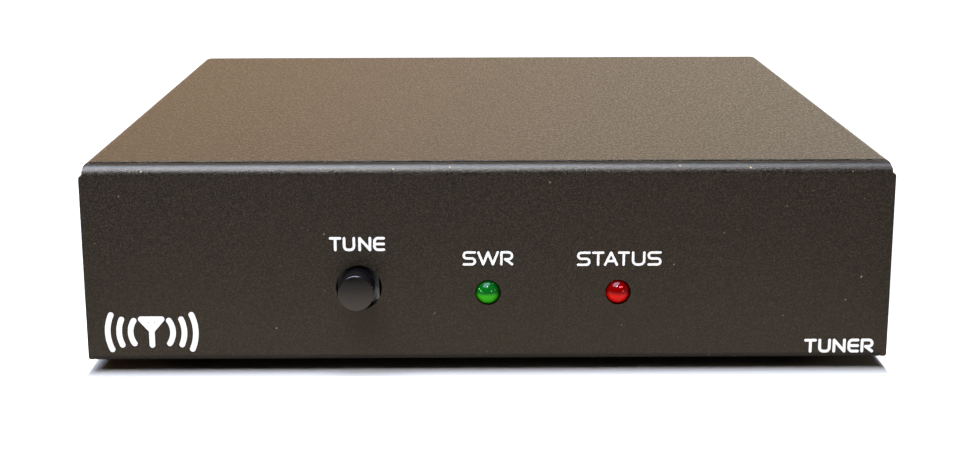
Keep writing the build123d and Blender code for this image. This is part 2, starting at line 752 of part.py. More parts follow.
dc_jack_body.part.label = "dc_jack_body"

with BuildPart() as dc_jack_pin:
    turned(
        dc_seat,
        [
            (0, -15.8),
            (DC_PIN_TAIL_RADIUS, -15.8),
            (DC_PIN_TAIL_RADIUS, -DC_CAVITY_DEPTH),
            (DC_PIN_RADIUS, -DC_CAVITY_DEPTH),
            (DC_PIN_RADIUS, -1.4),
            (DC_PIN_RADIUS - 0.4, -1.0),
            (0, -1.0),
        ],
    )
    block((DC_JACK_X - 1.2, dc_back_y - 0.8, LEAD_END), (DC_JACK_X + 1.2, dc_back_y - 0.1, DC_JACK_Z))
dc_jack_pin.part.label = "dc_jack_pin"

spring_bottom = DC_JACK_Z - DC_CAVITY_RADIUS - 0.55
with BuildPart() as dc_jack_spring_contact:
    block(
        (DC_JACK_X - 1.1, REAR_Y - 8.8, spring_bottom - 0.15),
        (DC_JACK_X + 1.1, REAR_Y - 2.9, spring_bottom + 0.15),
    )
    block((DC_JACK_X - 1.1, REAR_Y - 8.8, LEAD_END), (DC_JACK_X + 1.1, REAR_Y - 8.4, spring_bottom))
dc_jack_spring_contact.part.label = "dc_jack_spring_contact"

# ---- Control jack ----
radio_seat = facing_rear(RADIO_JACK_X, REAR_Y, RADIO_JACK_Z)
radio_back_y = REAR_Y - 15.0
RADIO_CONTACTS_Y = (REAR_Y - 4.5, REAR_Y - 8.0, REAR_Y - 11.5)

with BuildPart() as radio_jack_body:
    block(
        (RADIO_JACK_X - 6.0, radio_back_y, BOARD_TOP),
        (RADIO_JACK_X + 6.0, REAR_INSIDE_Y - 0.1, BOARD_TOP + 10.0),
    )
    disc(radio_seat, RADIO_NOSE_RADIUS, -2 * SHEET, RADIO_NOSE_REACH)
    disc(radio_seat, RADIO_BORE, -12.9, RADIO_NOSE_REACH + 1, Mode.SUBTRACT)
    for y in RADIO_CONTACTS_Y:
        block(
            (RADIO_JACK_X - 5.0, y - 0.6, BOARD_TOP - 1),
            (RADIO_JACK_X - RADIO_BORE + 0.3, y + 0.6, RADIO_JACK_Z + 1.0),
            Mode.SUBTRACT,
        )
radio_jack_body.part.label = "radio_jack_body"

with BuildPart() as radio_jack_nut:
    tube(radio_seat, 4.0, RADIO_NOSE_RADIUS + 0.02, 0.02, 2.0)
    with BuildSketch(radio_seat.offset(2.0)) as slots:
        Rectangle(9.0, 1.0)
    extrude(slots.sketch, amount=-0.8, mode=Mode.SUBTRACT)
radio_jack_nut.part.label = "radio_jack_nut"

with BuildPart() as radio_jack_contacts:
    for y in RADIO_CONTACTS_Y:
        contact_x = RADIO_JACK_X - RADIO_BORE - 0.35
        block((contact_x - 0.15, y - 0.45, LEAD_END), (contact_x + 0.15, y + 0.45, RADIO_JACK_Z + 0.8))
radio_jack_contacts.part.label = "radio_jack_contacts"

# ---- Ground post ----
ground_seat = facing_rear(GROUND_X, REAR_Y, GROUND_Z)
lug_thickness = 0.8
stud_head = SHEET + lug_thickness

with BuildPart() as ground_stud:
    turned(
        ground_seat,
        [
            (0, -stud_head - 2.4),
            (3.7, -stud_head - 2.4),
            (3.7, -stud_head),
            (STUD_RADIUS, -stud_head),
            (STUD_RADIUS, STUD_GROOVE),
            (STUD_RADIUS - 0.3, STUD_GROOVE),
            (STUD_RADIUS - 0.3, STUD_GROOVE + STUD_GROOVE_WIDTH),
            (STUD_RADIUS, STUD_GROOVE + STUD_GROOVE_WIDTH),
            (STUD_RADIUS, STUD_REACH - 0.5),
            (STUD_RADIUS - 0.5, STUD_REACH),
            (0, STUD_REACH),
        ],
    )
    with BuildSketch(ground_seat.offset(-stud_head - 2.4)) as recess:
        Rectangle(4.2, 1.1)
        Rectangle(1.1, 4.2)
    extrude(recess.sketch, amount=1.3, mode=Mode.SUBTRACT)
ground_stud.part.label = "ground_stud"

with BuildPart() as ground_lock_washer:
    tube(ground_seat, 3.9, STUD_RADIUS + 0.15, 0, 0.9)
    block(
        (GROUND_X - 0.4, REAR_Y - 0.5, GROUND_Z),
        (GROUND_X + 0.4, REAR_Y + 1.5, GROUND_Z + 5.0),
        Mode.SUBTRACT,
    )
ground_lock_washer.part.label = "ground_lock_washer"

with BuildPart() as ground_stud_nut:
    hex_nut(ground_seat.offset(0.9), 8.7, 3.2, STUD_RADIUS + 0.02)
ground_stud_nut.part.label = "ground_stud_nut"

with BuildPart() as ground_flat_washer:
    tube(ground_seat, 4.6, STUD_RADIUS + 0.07, WASHER_SEAT, WASHER_SEAT + WASHER_THICKNESS)
ground_flat_washer.part.label = "ground_flat_washer"

WING_SEAT = WASHER_SEAT + WASHER_THICKNESS + 0.05
WING_HUB_HEIGHT = 4.4
WING_HALF_SPAN = 9.6
WING_TIP = 9.2
WING_THICKNESS = 1.7

with BuildPart() as ground_wing_nut:
    turned(
        ground_seat.offset(WING_SEAT),
        [(0, 0), (4.1, 0), (3.3, WING_HUB_HEIGHT), (0, WING_HUB_HEIGHT)],
    )
    wing_plane = Plane(
        origin=(GROUND_X, REAR_Y + WING_SEAT, GROUND_Z), x_dir=(1, 0, 0), z_dir=(0, 0, 1)
    )
    with BuildSketch(wing_plane) as wing:
        with BuildLine():
            Polyline(
                (2.4, 0.9),
                (4.6, 1.2),
                (WING_HALF_SPAN, WING_TIP - 3.6),
                (WING_HALF_SPAN, WING_TIP - 1.2),
                (WING_HALF_SPAN - 2.0, WING_TIP),
                (5.6, WING_TIP - 1.4),
                (3.6, WING_HUB_HEIGHT),
                (2.4, WING_HUB_HEIGHT),
                close=True,
            )
        make_face()
        tips = wing.vertices().group_by(Axis.X)[-1] + wing.vertices().group_by(Axis.Y)[-1]
        fillet(tips, radius=1.0)
        mirror(about=Plane.YZ)
    extrude(wing.sketch, amount=WING_THICKNESS / 2, both=True)
    disc(ground_seat, STUD_RADIUS + 0.05, 0, SOCKET_REACH, Mode.SUBTRACT)
ground_wing_nut.part.label = "ground_wing_nut"

LUG_TAIL_Z = BOARD_TOP + 1.9
with BuildPart() as ground_solder_lug:
    tube(facing_front(GROUND_X, REAR_INSIDE_Y, GROUND_Z), 4.0, STUD_RADIUS + 0.1, 0, lug_thickness)
    block(
        (GROUND_X - 1.5, REAR_INSIDE_Y - lug_thickness, LUG_TAIL_Z - 3.4),
        (GROUND_X + 1.5, REAR_INSIDE_Y, GROUND_Z - 3.6),
    )
    disc(facing_front(GROUND_X, REAR_INSIDE_Y, LUG_TAIL_Z - 1.8), 0.8, -1, 2, Mode.SUBTRACT)
ground_solder_lug.part.label = "ground_solder_lug"

# ---- Wires from the sockets and the ground lug to the board ----
SOCKET_WIRE_Y = REAR_Y - 16.0
WIRE_RADIUS = 0.6
with BuildPart() as socket_wires:
    for x in SOCKETS_X:
        bent_wire(
            [(x, REAR_Y - 7.8, SOCKET_Z), (x, SOCKET_WIRE_Y, SOCKET_Z), (x, SOCKET_WIRE_Y, LEAD_END)],
            2.5,
            WIRE_RADIUS,
        )
    lug_wire_y = REAR_INSIDE_Y - lug_thickness - 9.0
    bent_wire(
        [
            (GROUND_X, REAR_INSIDE_Y - lug_thickness, LUG_TAIL_Z - 1.8),
            (GROUND_X, REAR_Y - 5.0, LUG_TAIL_Z - 1.8),
            (GROUND_X, REAR_Y - 7.0, LUG_TAIL_Z + 2.0),
            (GROUND_X, lug_wire_y, LUG_TAIL_Z + 2.0),
            (GROUND_X, lug_wire_y, LEAD_END),
        ],
        0.9,
        WIRE_RADIUS,
    )
socket_wires.part.label = "socket_wires"

# ---- Relays: one row switches inductors, one row switches capacitors ----
RELAY_WIDTH = 10.0
RELAY_LENGTH = 20.0
RELAY_HEIGHT = 10.6
RELAY_FOOT = 0.3
RELAY_CHAMFER = 0.6
RELAY_WALL_HEIGHT = RELAY_HEIGHT - RELAY_FOOT - RELAY_CHAMFER
RELAY_PITCH = 12.6
RELAY_COUNT = 8
RELAY_PIN_X = 3.81
RELAY_PIN_ROWS = (-7.62, -2.54, 2.54, 7.62)
ROW_START_X = -54.0
CAPACITOR_ROW_Y = FRONT_Y + 50.0
INDUCTOR_ROW_Y = FRONT_Y + 86.0
HIGH_LOW_RELAY = (52.0, INDUCTOR_ROW_Y)
row_x = [ROW_START_X + i * RELAY_PITCH for i in range(RELAY_COUNT)]
INDUCTOR_RELAYS = [(x, INDUCTOR_ROW_Y) for x in row_x]
CAPACITOR_RELAYS = [(x, CAPACITOR_ROW_Y) for x in row_x]
RELAY_PINS = [
    (x + side * RELAY_PIN_X, y + row)
    for x, y in INDUCTOR_RELAYS + CAPACITOR_RELAYS + [HIGH_LOW_RELAY]
    for side in (-1, 1)
    for row in RELAY_PIN_ROWS
]


def relay(x, y):
    """Sealed relay case on short feet, with chamfered top edges."""
    half_w = RELAY_WIDTH / 2
    half_l = RELAY_LENGTH / 2
    with BuildSketch(Plane((x, y, BOARD_TOP + RELAY_FOOT))) as case:
        RectangleRounded(RELAY_WIDTH, RELAY_LENGTH, 0.6)
    extrude(case.sketch, amount=RELAY_WALL_HEIGHT)
    extrude(case.sketch.moved(Location((0, 0, RELAY_WALL_HEIGHT))), amount=RELAY_CHAMFER, taper=45)
    for dx in (-1, 1):
        for dy in (-1, 1):
            corner = (x + dx * (half_w - 0.9), y + dy * (half_l - 0.9), BOARD_TOP)
            disc(Plane(corner), 0.5, 0, RELAY_FOOT)


with BuildPart() as inductor_relays:
    for x, y in INDUCTOR_RELAYS:
        relay(x, y)
inductor_relays.part.label = "inductor_relays"

with BuildPart() as capacitor_relays:
    for x, y in CAPACITOR_RELAYS:
        relay(x, y)
capacitor_relays.part.label = "capacitor_relays"

with BuildPart() as high_low_relay:
    relay(*HIGH_LOW_RELAY)
high_low_relay.part.label = "high_low_relay"

with BuildPart() as relay_pins:
    with BuildSketch(Plane.XY.offset(LEAD_END)):
        with Locations(*RELAY_PINS):
            Circle(0.3)
    extrude(amount=BOARD_TOP + RELAY_FOOT - LEAD_END)
relay_pins.part.label = "relay_pins"

# ---- Ring cores and their windings ----
TOROID_OUTER = 11.95
TOROID_INNER = 7.1
TOROID_HEIGHT = 7.9
TOROID_WIRE = 0.5
TOROID_Z = BOARD_TOP + 13.6
TOROID_Y = FRONT_Y + 116.0
TOROIDS = [(-56.0, 14), (-42.0, 11), (-28.0, 8)]
COUPLER_OUTER = 6.35
COUPLER_INNER = 3.85
COUPLER_HEIGHT = 4.8
COUPLER_WIRE = 0.3
COUPLER_Z = BOARD_TOP + 7.4
COUPLER_Y = FRONT_Y + 128.0
COUPLERS = [(-9.0, 10), (9.0, 10)]
WINDING_START = radians(-60)
WINDING_SWEEP = radians(300)


def ring_core(x, y, z, outer, inner, height):
    """Ring core with its axis along X and rounded rims."""
    rim = 0.1 * height
    half = height / 2
    turned(
        facing_side(1, x, y, z),
        [
            (inner, -half + rim),
            (inner + rim, -half),
            (outer - rim, -half),
            (outer, -half + rim),
            (outer, half - rim),
            (outer - rim, half),
            (inner + rim, half),
            (inner, half - rim),
        ],
    )


def ring_winding_points(x, y, z, outer, inner, height, turns, wire):
    """Corners of a winding that goes round a ring core, with both ends led to the board."""
    stand = wire + 0.1
    side_x = height / 2 + stand
    step = WINDING_SWEEP / turns

    def corner(radius, angle, offset_x):
        return (x + offset_x, y + radius * cos(angle), z + radius * sin(angle))

    points = []
    for turn in range(turns):
        inside = WINDING_START + turn * step
        outside = inside + step / 2
        points.append(corner(inner - stand, inside, -side_x))
        points.append(corner(inner - stand, inside, side_x))
        points.append(corner(outer + stand, outside, side_x))
        points.append(corner(outer + stand, outside, -side_x))
    first = (points[0][0], points[0][1] + 0.4, LEAD_END)
    last = (points[-1][0], points[-1][1], LEAD_END)
    return [first] + points + [last]


with BuildPart() as toroid_cores:
    for x, _ in TOROIDS:
        ring_core(x, TOROID_Y, TOROID_Z, TOROID_OUTER, TOROID_INNER, TOROID_HEIGHT)
toroid_cores.part.label = "toroid_cores"

toroid_routes = [
    ring_winding_points(
        x, TOROID_Y, TOROID_Z, TOROID_OUTER, TOROID_INNER, TOROID_HEIGHT, turns, TOROID_WIRE
    )
    for x, turns in TOROIDS
]
with BuildPart() as toroid_windings:
    for route in toroid_routes:
        bent_wire(route, 0.9, TOROID_WIRE)
toroid_windings.part.label = "toroid_windings"

with BuildPart() as coupler_cores:
    for x, _ in COUPLERS:
        ring_core(x, COUPLER_Y, COUPLER_Z, COUPLER_OUTER, COUPLER_INNER, COUPLER_HEIGHT)
coupler_cores.part.label = "coupler_cores"

coupler_routes = [
    ring_winding_points(
        x, COUPLER_Y, COUPLER_Z, COUPLER_OUTER, COUPLER_INNER, COUPLER_HEIGHT, turns, COUPLER_WIRE
    )
    for x, turns in COUPLERS
]
with BuildPart() as coupler_windings:
    for route in coupler_routes:
        bent_wire(route, 0.5, COUPLER_WIRE)
coupler_windings.part.label = "coupler_windings"

# ---- Air-wound coils ----
COIL_WIRE = 0.5
COIL_PITCH = 1.5
COIL_CORNERS = 8
COIL_ROUNDING = 0.85
COIL_Y = FRONT_Y + 103.0
COILS = [(-12.0, 4.0, 6.5), (0.0, 4.0, 5.5), (12.0, 4.0, 4.5), (24.0, 3.5, 4.5), (35.0, 3.0, 3.5)]
COIL_LIFT = 1.4


def coil_points(x, z, radius, turns):
    """Corners of a coil, from one foot under the board, over the turns, to the other foot."""
    corner_radius = radius / cos(pi / COIL_CORNERS)
    points = [(x - radius, COIL_Y, LEAD_END)]
    for step in range(round(turns * COIL_CORNERS)):
        share = (step + 0.5) / COIL_CORNERS
        angle = pi - 2 * pi * share
        points.append(
            (
                x + corner_radius * cos(angle),
                COIL_Y + COIL_PITCH * share,
                z + corner_radius * sin(angle),
            )
        )
    points.append((x + radius, points[-1][1], LEAD_END))
    return points


coil_ends = []
with BuildPart() as air_coils:
    for x, radius, turns in COILS:
        route = coil_points(x, BOARD_TOP + radius + COIL_LIFT, radius, turns)
        bent_wire(route, COIL_ROUNDING * radius, COIL_WIRE)
        coil_ends += [route[0][:2], route[-1][:2]]
air_coils.part.label = "air_coils"

# ---- Disc capacitors ----
DISC_Y = FRONT_Y + 67.0
DISC_Z = BOARD_TOP + 6.2
DISC_THICKNESS = 3.0
DISC_RADII = [5.0, 4.8, 4.6, 4.4, 4.2, 4.0, 3.8, 3.6]
DISC_SHOULDER = 1.4
DISC_EDGE = 0.3
DISC_LEAD = 0.3
DISC_LEAD_X = 2.54
LEAD_OVERLAP = 0.6


def disc_capacitor(x, radius, mode=Mode.ADD):
    """Dipped disc capacitor standing on edge across the board."""
    half = DISC_THICKNESS / 2
    turned(
        facing_rear(x, DISC_Y, DISC_Z),
        [
            (0, -half),
            (radius - DISC_SHOULDER, -half),
            (radius - DISC_EDGE, -half / 2),
            (radius, 0),
            (radius - DISC_EDGE, half / 2),
            (radius - DISC_SHOULDER, half),
            (0, half),
        ],
        mode,
    )


with BuildPart() as tuning_capacitors:
    for x, radius in zip(row_x, DISC_RADII):
        disc_capacitor(x, radius)
tuning_capacitors.part.label = "tuning_capacitors"

DISC_LEADS = [(x + side * DISC_LEAD_X, DISC_Y) for x in row_x for side in (-1, 1)]
with BuildPart() as capacitor_leads:
    for x, radius in zip(row_x, DISC_RADII):
        lead_top = DISC_Z - sqrt(radius**2 - (DISC_LEAD_X + DISC_LEAD) ** 2) + LEAD_OVERLAP
        for side in (-1, 1):
            disc(Plane((x + side * DISC_LEAD_X, DISC_Y, 0)), DISC_LEAD, LEAD_END, lead_top)
    for x, radius in zip(row_x, DISC_RADII):
        disc_capacitor(x, radius, Mode.SUBTRACT)
capacitor_leads.part.label = "capacitor_leads"

# ---- Control electronics ----
CHIP_HEIGHT = 2.3
CHIP_HALF_WIDTH = 3.75
CHIP_LIFT = 0.15
LEG_PITCH = 1.27
CONTROLLER = (-50.0, FRONT_Y + 26.0, 14)
DRIVERS = [(-22.0, FRONT_Y + 27.0, 9), (-4.0, FRONT_Y + 27.0, 9), (14.0, FRONT_Y + 27.0, 9)]


def chip(x, y, legs_per_side):
    """Flat chip package with a row of legs along each long side."""
    half_length = legs_per_side * LEG_PITCH / 2
    low_z = BOARD_TOP + CHIP_LIFT
    block(
        (x - half_length, y - CHIP_HALF_WIDTH, low_z),
        (x + half_length, y + CHIP_HALF_WIDTH, low_z + CHIP_HEIGHT),
    )
    dimple = Plane((x - half_length + 1.2, y - CHIP_HALF_WIDTH + 1.2, low_z + CHIP_HEIGHT))
    disc(dimple, 0.5, -0.15, 0.1, Mode.SUBTRACT)


def chip_legs(x, y, legs_per_side):
    """Gull-wing legs of one chip, bent down to the board."""
    knee_z = BOARD_TOP + CHIP_LIFT + CHIP_HEIGHT / 2
    first_x = x - (legs_per_side - 1) * LEG_PITCH / 2
    leg_half = 0.21
    for side in (-1, 1):
        root_y = y + side * CHIP_HALF_WIDTH
        with BuildSketch(Plane(origin=(0, 0, 0), x_dir=(0, 1, 0), z_dir=(1, 0, 0))) as profile:
            with BuildLine():
                Polyline(
                    (root_y, knee_z),
                    (root_y + side * 0.6, knee_z),
                    (root_y + side * 0.85, BOARD_TOP + 0.25),
                    (root_y + side * 1.5, BOARD_TOP + 0.25),
                    (root_y + side * 1.5, BOARD_TOP),
                    (root_y + side * 0.6, BOARD_TOP),
                    (root_y + side * 0.38, knee_z - 0.25),
                    (root_y, knee_z - 0.25),
                    close=True,
                )
            make_face()
        for leg in range(legs_per_side):
            centre_x = first_x + leg * LEG_PITCH
            leg_profile = profile.sketch.moved(Location((centre_x, 0, 0)))
            extrude(leg_profile, amount=leg_half, both=True)


with BuildPart() as microcontroller:
    chip(*CONTROLLER)
microcontroller.part.label = "microcontroller"

with BuildPart() as microcontroller_legs:
    chip_legs(*CONTROLLER)
microcontroller_legs.part.label = "microcontroller_legs"

with BuildPart() as relay_driver_chips:
    for driver in DRIVERS:
        chip(*driver)
relay_driver_chips.part.label = "relay_driver_chips"

with BuildPart() as driver_legs:
    for driver in DRIVERS:
        chip_legs(*driver)
driver_legs.part.label = "driver_legs"

CRYSTAL = (-50.0, FRONT_Y + 15.0)
with BuildPart() as clock_crystal:
    with BuildSketch(Plane((*CRYSTAL, BOARD_TOP + 0.2))) as can:
        SlotOverall(11.0, 4.6)
    extrude(can.sketch, amount=3.3)
    fillet(clock_crystal.edges().group_by(Axis.Z)[-1], radius=0.5)
    with BuildSketch(Plane((*CRYSTAL, BOARD_TOP))) as rim:
        SlotOverall(11.6, 5.2)
    extrude(rim.sketch, amount=0.4)
clock_crystal.part.label = "clock_crystal"

REGULATOR = (56.0, FRONT_Y + 24.0)
REGULATOR_PINS = [(REGULATOR[0] + dx, REGULATOR[1]) for dx in (-2.54, 0.0, 2.54)]
with BuildPart() as voltage_regulator:
    body_z = BOARD_TOP + 4.0
    block(
        (REGULATOR[0] - 5.1, REGULATOR[1] - 2.2, body_z),
        (REGULATOR[0] + 5.1, REGULATOR[1] + 1.0, body_z + 9.0),
    )
    block(
        (REGULATOR[0] - 5.1, REGULATOR[1] + 1.0, body_z),
        (REGULATOR[0] + 5.1, REGULATOR[1] + 2.3, body_z + 15.4),
    )
    disc(facing_rear(REGULATOR[0], REGULATOR[1], body_z + 12.3), 1.9, 0, 4.0, Mode.SUBTRACT)
    for x, y in REGULATOR_PINS:
        block((x - 0.4, y - 0.25, LEAD_END), (x + 0.4, y + 0.25, body_z))
voltage_regulator.part.label = "voltage_regulator"

FILTER_CAPACITORS = [(42.0, FRONT_Y + 22.0), (42.0, FRONT_Y + 33.0)]
with BuildPart() as filter_capacitors:
    for x, y in FILTER_CAPACITORS:
        turned(
            Plane((x, y, BOARD_TOP)),
            [
                (0, 0),
                (3.9, 0),
                (4.0, 0.6),
                (4.0, 1.6),
                (3.7, 1.9),
                (3.7, 2.2),
                (4.0, 2.5),
                (4.0, 11.2),
                (3.7, 11.5),
                (0, 11.5),
            ],
        )
filter_capacitors.part.label = "filter_capacitors"

CHIP_RESISTORS = [(-34.0 + 5.0 * i, FRONT_Y + 18.4) for i in range(5)]
CHIP_RESISTORS += [(-20.0 + 6.0 * i, FRONT_Y + 36.0) for i in range(8)]
CHIP_RESISTORS += [(-14.0 + 7.0 * i, FRONT_Y + 138.0) for i in range(5) if i != 2]
with BuildPart() as chip_resistors:
    with BuildSketch(Plane.XY.offset(BOARD_TOP)):
        with Locations(*CHIP_RESISTORS):
            Rectangle(2.0, 1.25)
    extrude(amount=0.5)
chip_resistors.part.label = "chip_resistors"

# ---- Circuit board, drilled for everything that stands in it ----
winding_ends = [end[:2] for route in toroid_routes + coupler_routes for end in (route[0], route[-1])]
wire_ends = [(x, SOCKET_WIRE_Y) for x in SOCKETS_X] + [(GROUND_X, lug_wire_y)]
contact_ends = [(contact_x, y) for y in RADIO_CONTACTS_Y if y < BOARD_REAR_Y]

with BuildPart() as circuit_board:
    with BuildSketch(Plane.XY.offset(BOARD_BOTTOM)):
        with BuildLine():
            Polyline(
                (-BOARD_HALF, BOARD_FRONT_Y),
                (BOARD_HALF, BOARD_FRONT_Y),
                (BOARD_HALF, BOARD_REAR_Y),
                (-BOARD_HALF, BOARD_REAR_Y),
                close=True,
            )
        make_face()
        with Locations(*STANDOFFS):
            Circle(M3_HOLE, mode=Mode.SUBTRACT)
        with Locations(*RELAY_PINS, *DISC_LEADS, *LED_LEADS):
            Circle(0.45, mode=Mode.SUBTRACT)
        with Locations(*SWITCH_PINS, *contact_ends):
            Circle(0.6, mode=Mode.SUBTRACT)
        with Locations(*coil_ends, *winding_ends, *REGULATOR_PINS):
            Circle(0.65, mode=Mode.SUBTRACT)
        with Locations(*wire_ends):
            Circle(0.8, mode=Mode.SUBTRACT)
        with Locations((DC_JACK_X, dc_back_y - 0.45), (DC_JACK_X, REAR_Y - 8.6)):
            SlotOverall(3.2, 1.4, mode=Mode.SUBTRACT)
    extrude(amount=BOARD_THICKNESS)
circuit_board.part.label = "circuit_board"

# ---- Write one file per piece ----
PIECES = [
    chassis,
    top_cover,
    cover_screws,
    cover_clinch_nuts,
    rubber_feet,
    board_standoffs,
    board_screws,
    tune_button_cap,
    tune_switch_plunger,
    tune_switch_body,
    tune_switch_spring,
    tune_switch_terminals,
    swr_led,
    status_led,
    led_leads,
    led_holders,
    rig_socket_shell,
    rig_socket_insulator,
    rig_socket_contact,
    antenna_socket_shell,
    antenna_socket_insulator,
    antenna_socket_contact,
    socket_screws,
    socket_nuts,
    dc_jack_body,
    dc_jack_pin,
    dc_jack_spring_contact,
    radio_jack_body,
    radio_jack_nut,
    radio_jack_contacts,
    ground_stud,
    ground_lock_washer,
    ground_stud_nut,
    ground_flat_washer,
    ground_wing_nut,
    ground_solder_lug,
    socket_wires,
    inductor_relays,
    capacitor_relays,
    high_low_relay,
    relay_pins,
    toroid_cores,
    toroid_windings,
    coupler_cores,
    coupler_windings,
    air_coils,
    tuning_capacitors,
    capacitor_leads,
    microcontroller,
    microcontroller_legs,
    relay_driver_chips,
    driver_legs,
    clock_crystal,
    voltage_regulator,
    filter_capacitors,
    chip_resistors,
    circuit_board,
]
os.makedirs("parts", exist_ok=True)
for piece in PIECES:
    export_step(piece.part, f"parts/{piece.part.label}.step")
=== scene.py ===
import json
from math import ceil, cos, hypot, pi, radians, sin

import bmesh
import bpy
from mathutils import Matrix, Vector


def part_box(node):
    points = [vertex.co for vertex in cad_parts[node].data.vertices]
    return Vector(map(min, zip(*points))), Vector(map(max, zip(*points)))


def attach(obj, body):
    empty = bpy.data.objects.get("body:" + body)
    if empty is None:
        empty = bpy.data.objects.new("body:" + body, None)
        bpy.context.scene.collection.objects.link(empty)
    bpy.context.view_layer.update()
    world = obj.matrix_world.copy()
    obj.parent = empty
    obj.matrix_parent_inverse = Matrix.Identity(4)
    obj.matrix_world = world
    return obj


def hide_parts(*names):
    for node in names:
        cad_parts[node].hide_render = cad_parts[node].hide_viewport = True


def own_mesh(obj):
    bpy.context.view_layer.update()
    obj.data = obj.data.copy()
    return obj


# Looks of the antenna tuner. Lengths are in metres, in the frame's own axes:
# +X to the right seen from the front, +Y to the rear, +Z up.
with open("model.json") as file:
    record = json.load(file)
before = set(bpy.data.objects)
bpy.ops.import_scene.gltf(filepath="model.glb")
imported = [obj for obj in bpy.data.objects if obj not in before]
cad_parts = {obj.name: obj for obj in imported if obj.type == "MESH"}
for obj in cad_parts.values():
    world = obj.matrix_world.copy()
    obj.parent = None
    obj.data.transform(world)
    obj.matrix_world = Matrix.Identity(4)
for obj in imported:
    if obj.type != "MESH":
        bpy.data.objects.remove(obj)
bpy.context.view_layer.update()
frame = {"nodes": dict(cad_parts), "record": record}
nodes = frame["nodes"]

MM = 0.001
CASE_LOW, CASE_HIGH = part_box("chassis")
FRONT_Y = CASE_LOW[1]
REAR_Y = CASE_HIGH[1]
BASE_Z = CASE_LOW[2]


# ---- Camera ----
# In front of the case and above it, looking down at it, and turned a little off square.
# Its place is measured from the middle of the front panel's lower edge.
CAMERA_PLACE = Vector((-3.63, -311.54, 98.86)) * MM
CAMERA_YAW = radians(0.390)
CAMERA_PITCH = radians(13.578)
CAMERA_ROLL = radians(-0.141)
CAMERA_SENSOR = 36.0
CAMERA_LENS = 62.89
CAMERA_SHIFT_Y = 0.0153


def make_camera():
    forward = Vector(
        (
            sin(CAMERA_YAW) * cos(CAMERA_PITCH),
            cos(CAMERA_YAW) * cos(CAMERA_PITCH),
            -sin(CAMERA_PITCH),
        )
    )
    level = Vector((cos(CAMERA_YAW), -sin(CAMERA_YAW), 0.0))
    raised = level.cross(forward)
    right = level * cos(CAMERA_ROLL) + raised * sin(CAMERA_ROLL)
    upward = raised * cos(CAMERA_ROLL) - level * sin(CAMERA_ROLL)
    data = bpy.data.cameras.new("camera")
    data.sensor_width = CAMERA_SENSOR
    data.lens = CAMERA_LENS
    data.shift_y = CAMERA_SHIFT_Y
    data.clip_start = 0.01
    data.clip_end = 50.0
    camera = bpy.data.objects.new("camera", data)
    bpy.context.scene.collection.objects.link(camera)
    turn = Matrix((right, upward, -forward)).transposed().to_4x4()
    place = CAMERA_PLACE + Vector((0.0, FRONT_Y, BASE_Z))
    camera.matrix_world = Matrix.Translation(place) @ turn
    bpy.context.scene.camera = camera


make_camera()


# ---- Node helpers ----
# Where a colour mix node keeps its sockets; it has a set of them for every data type.
MIX_FACTOR = 0
MIX_FIRST = 6
MIX_SECOND = 7
MIX_RESULT = 2


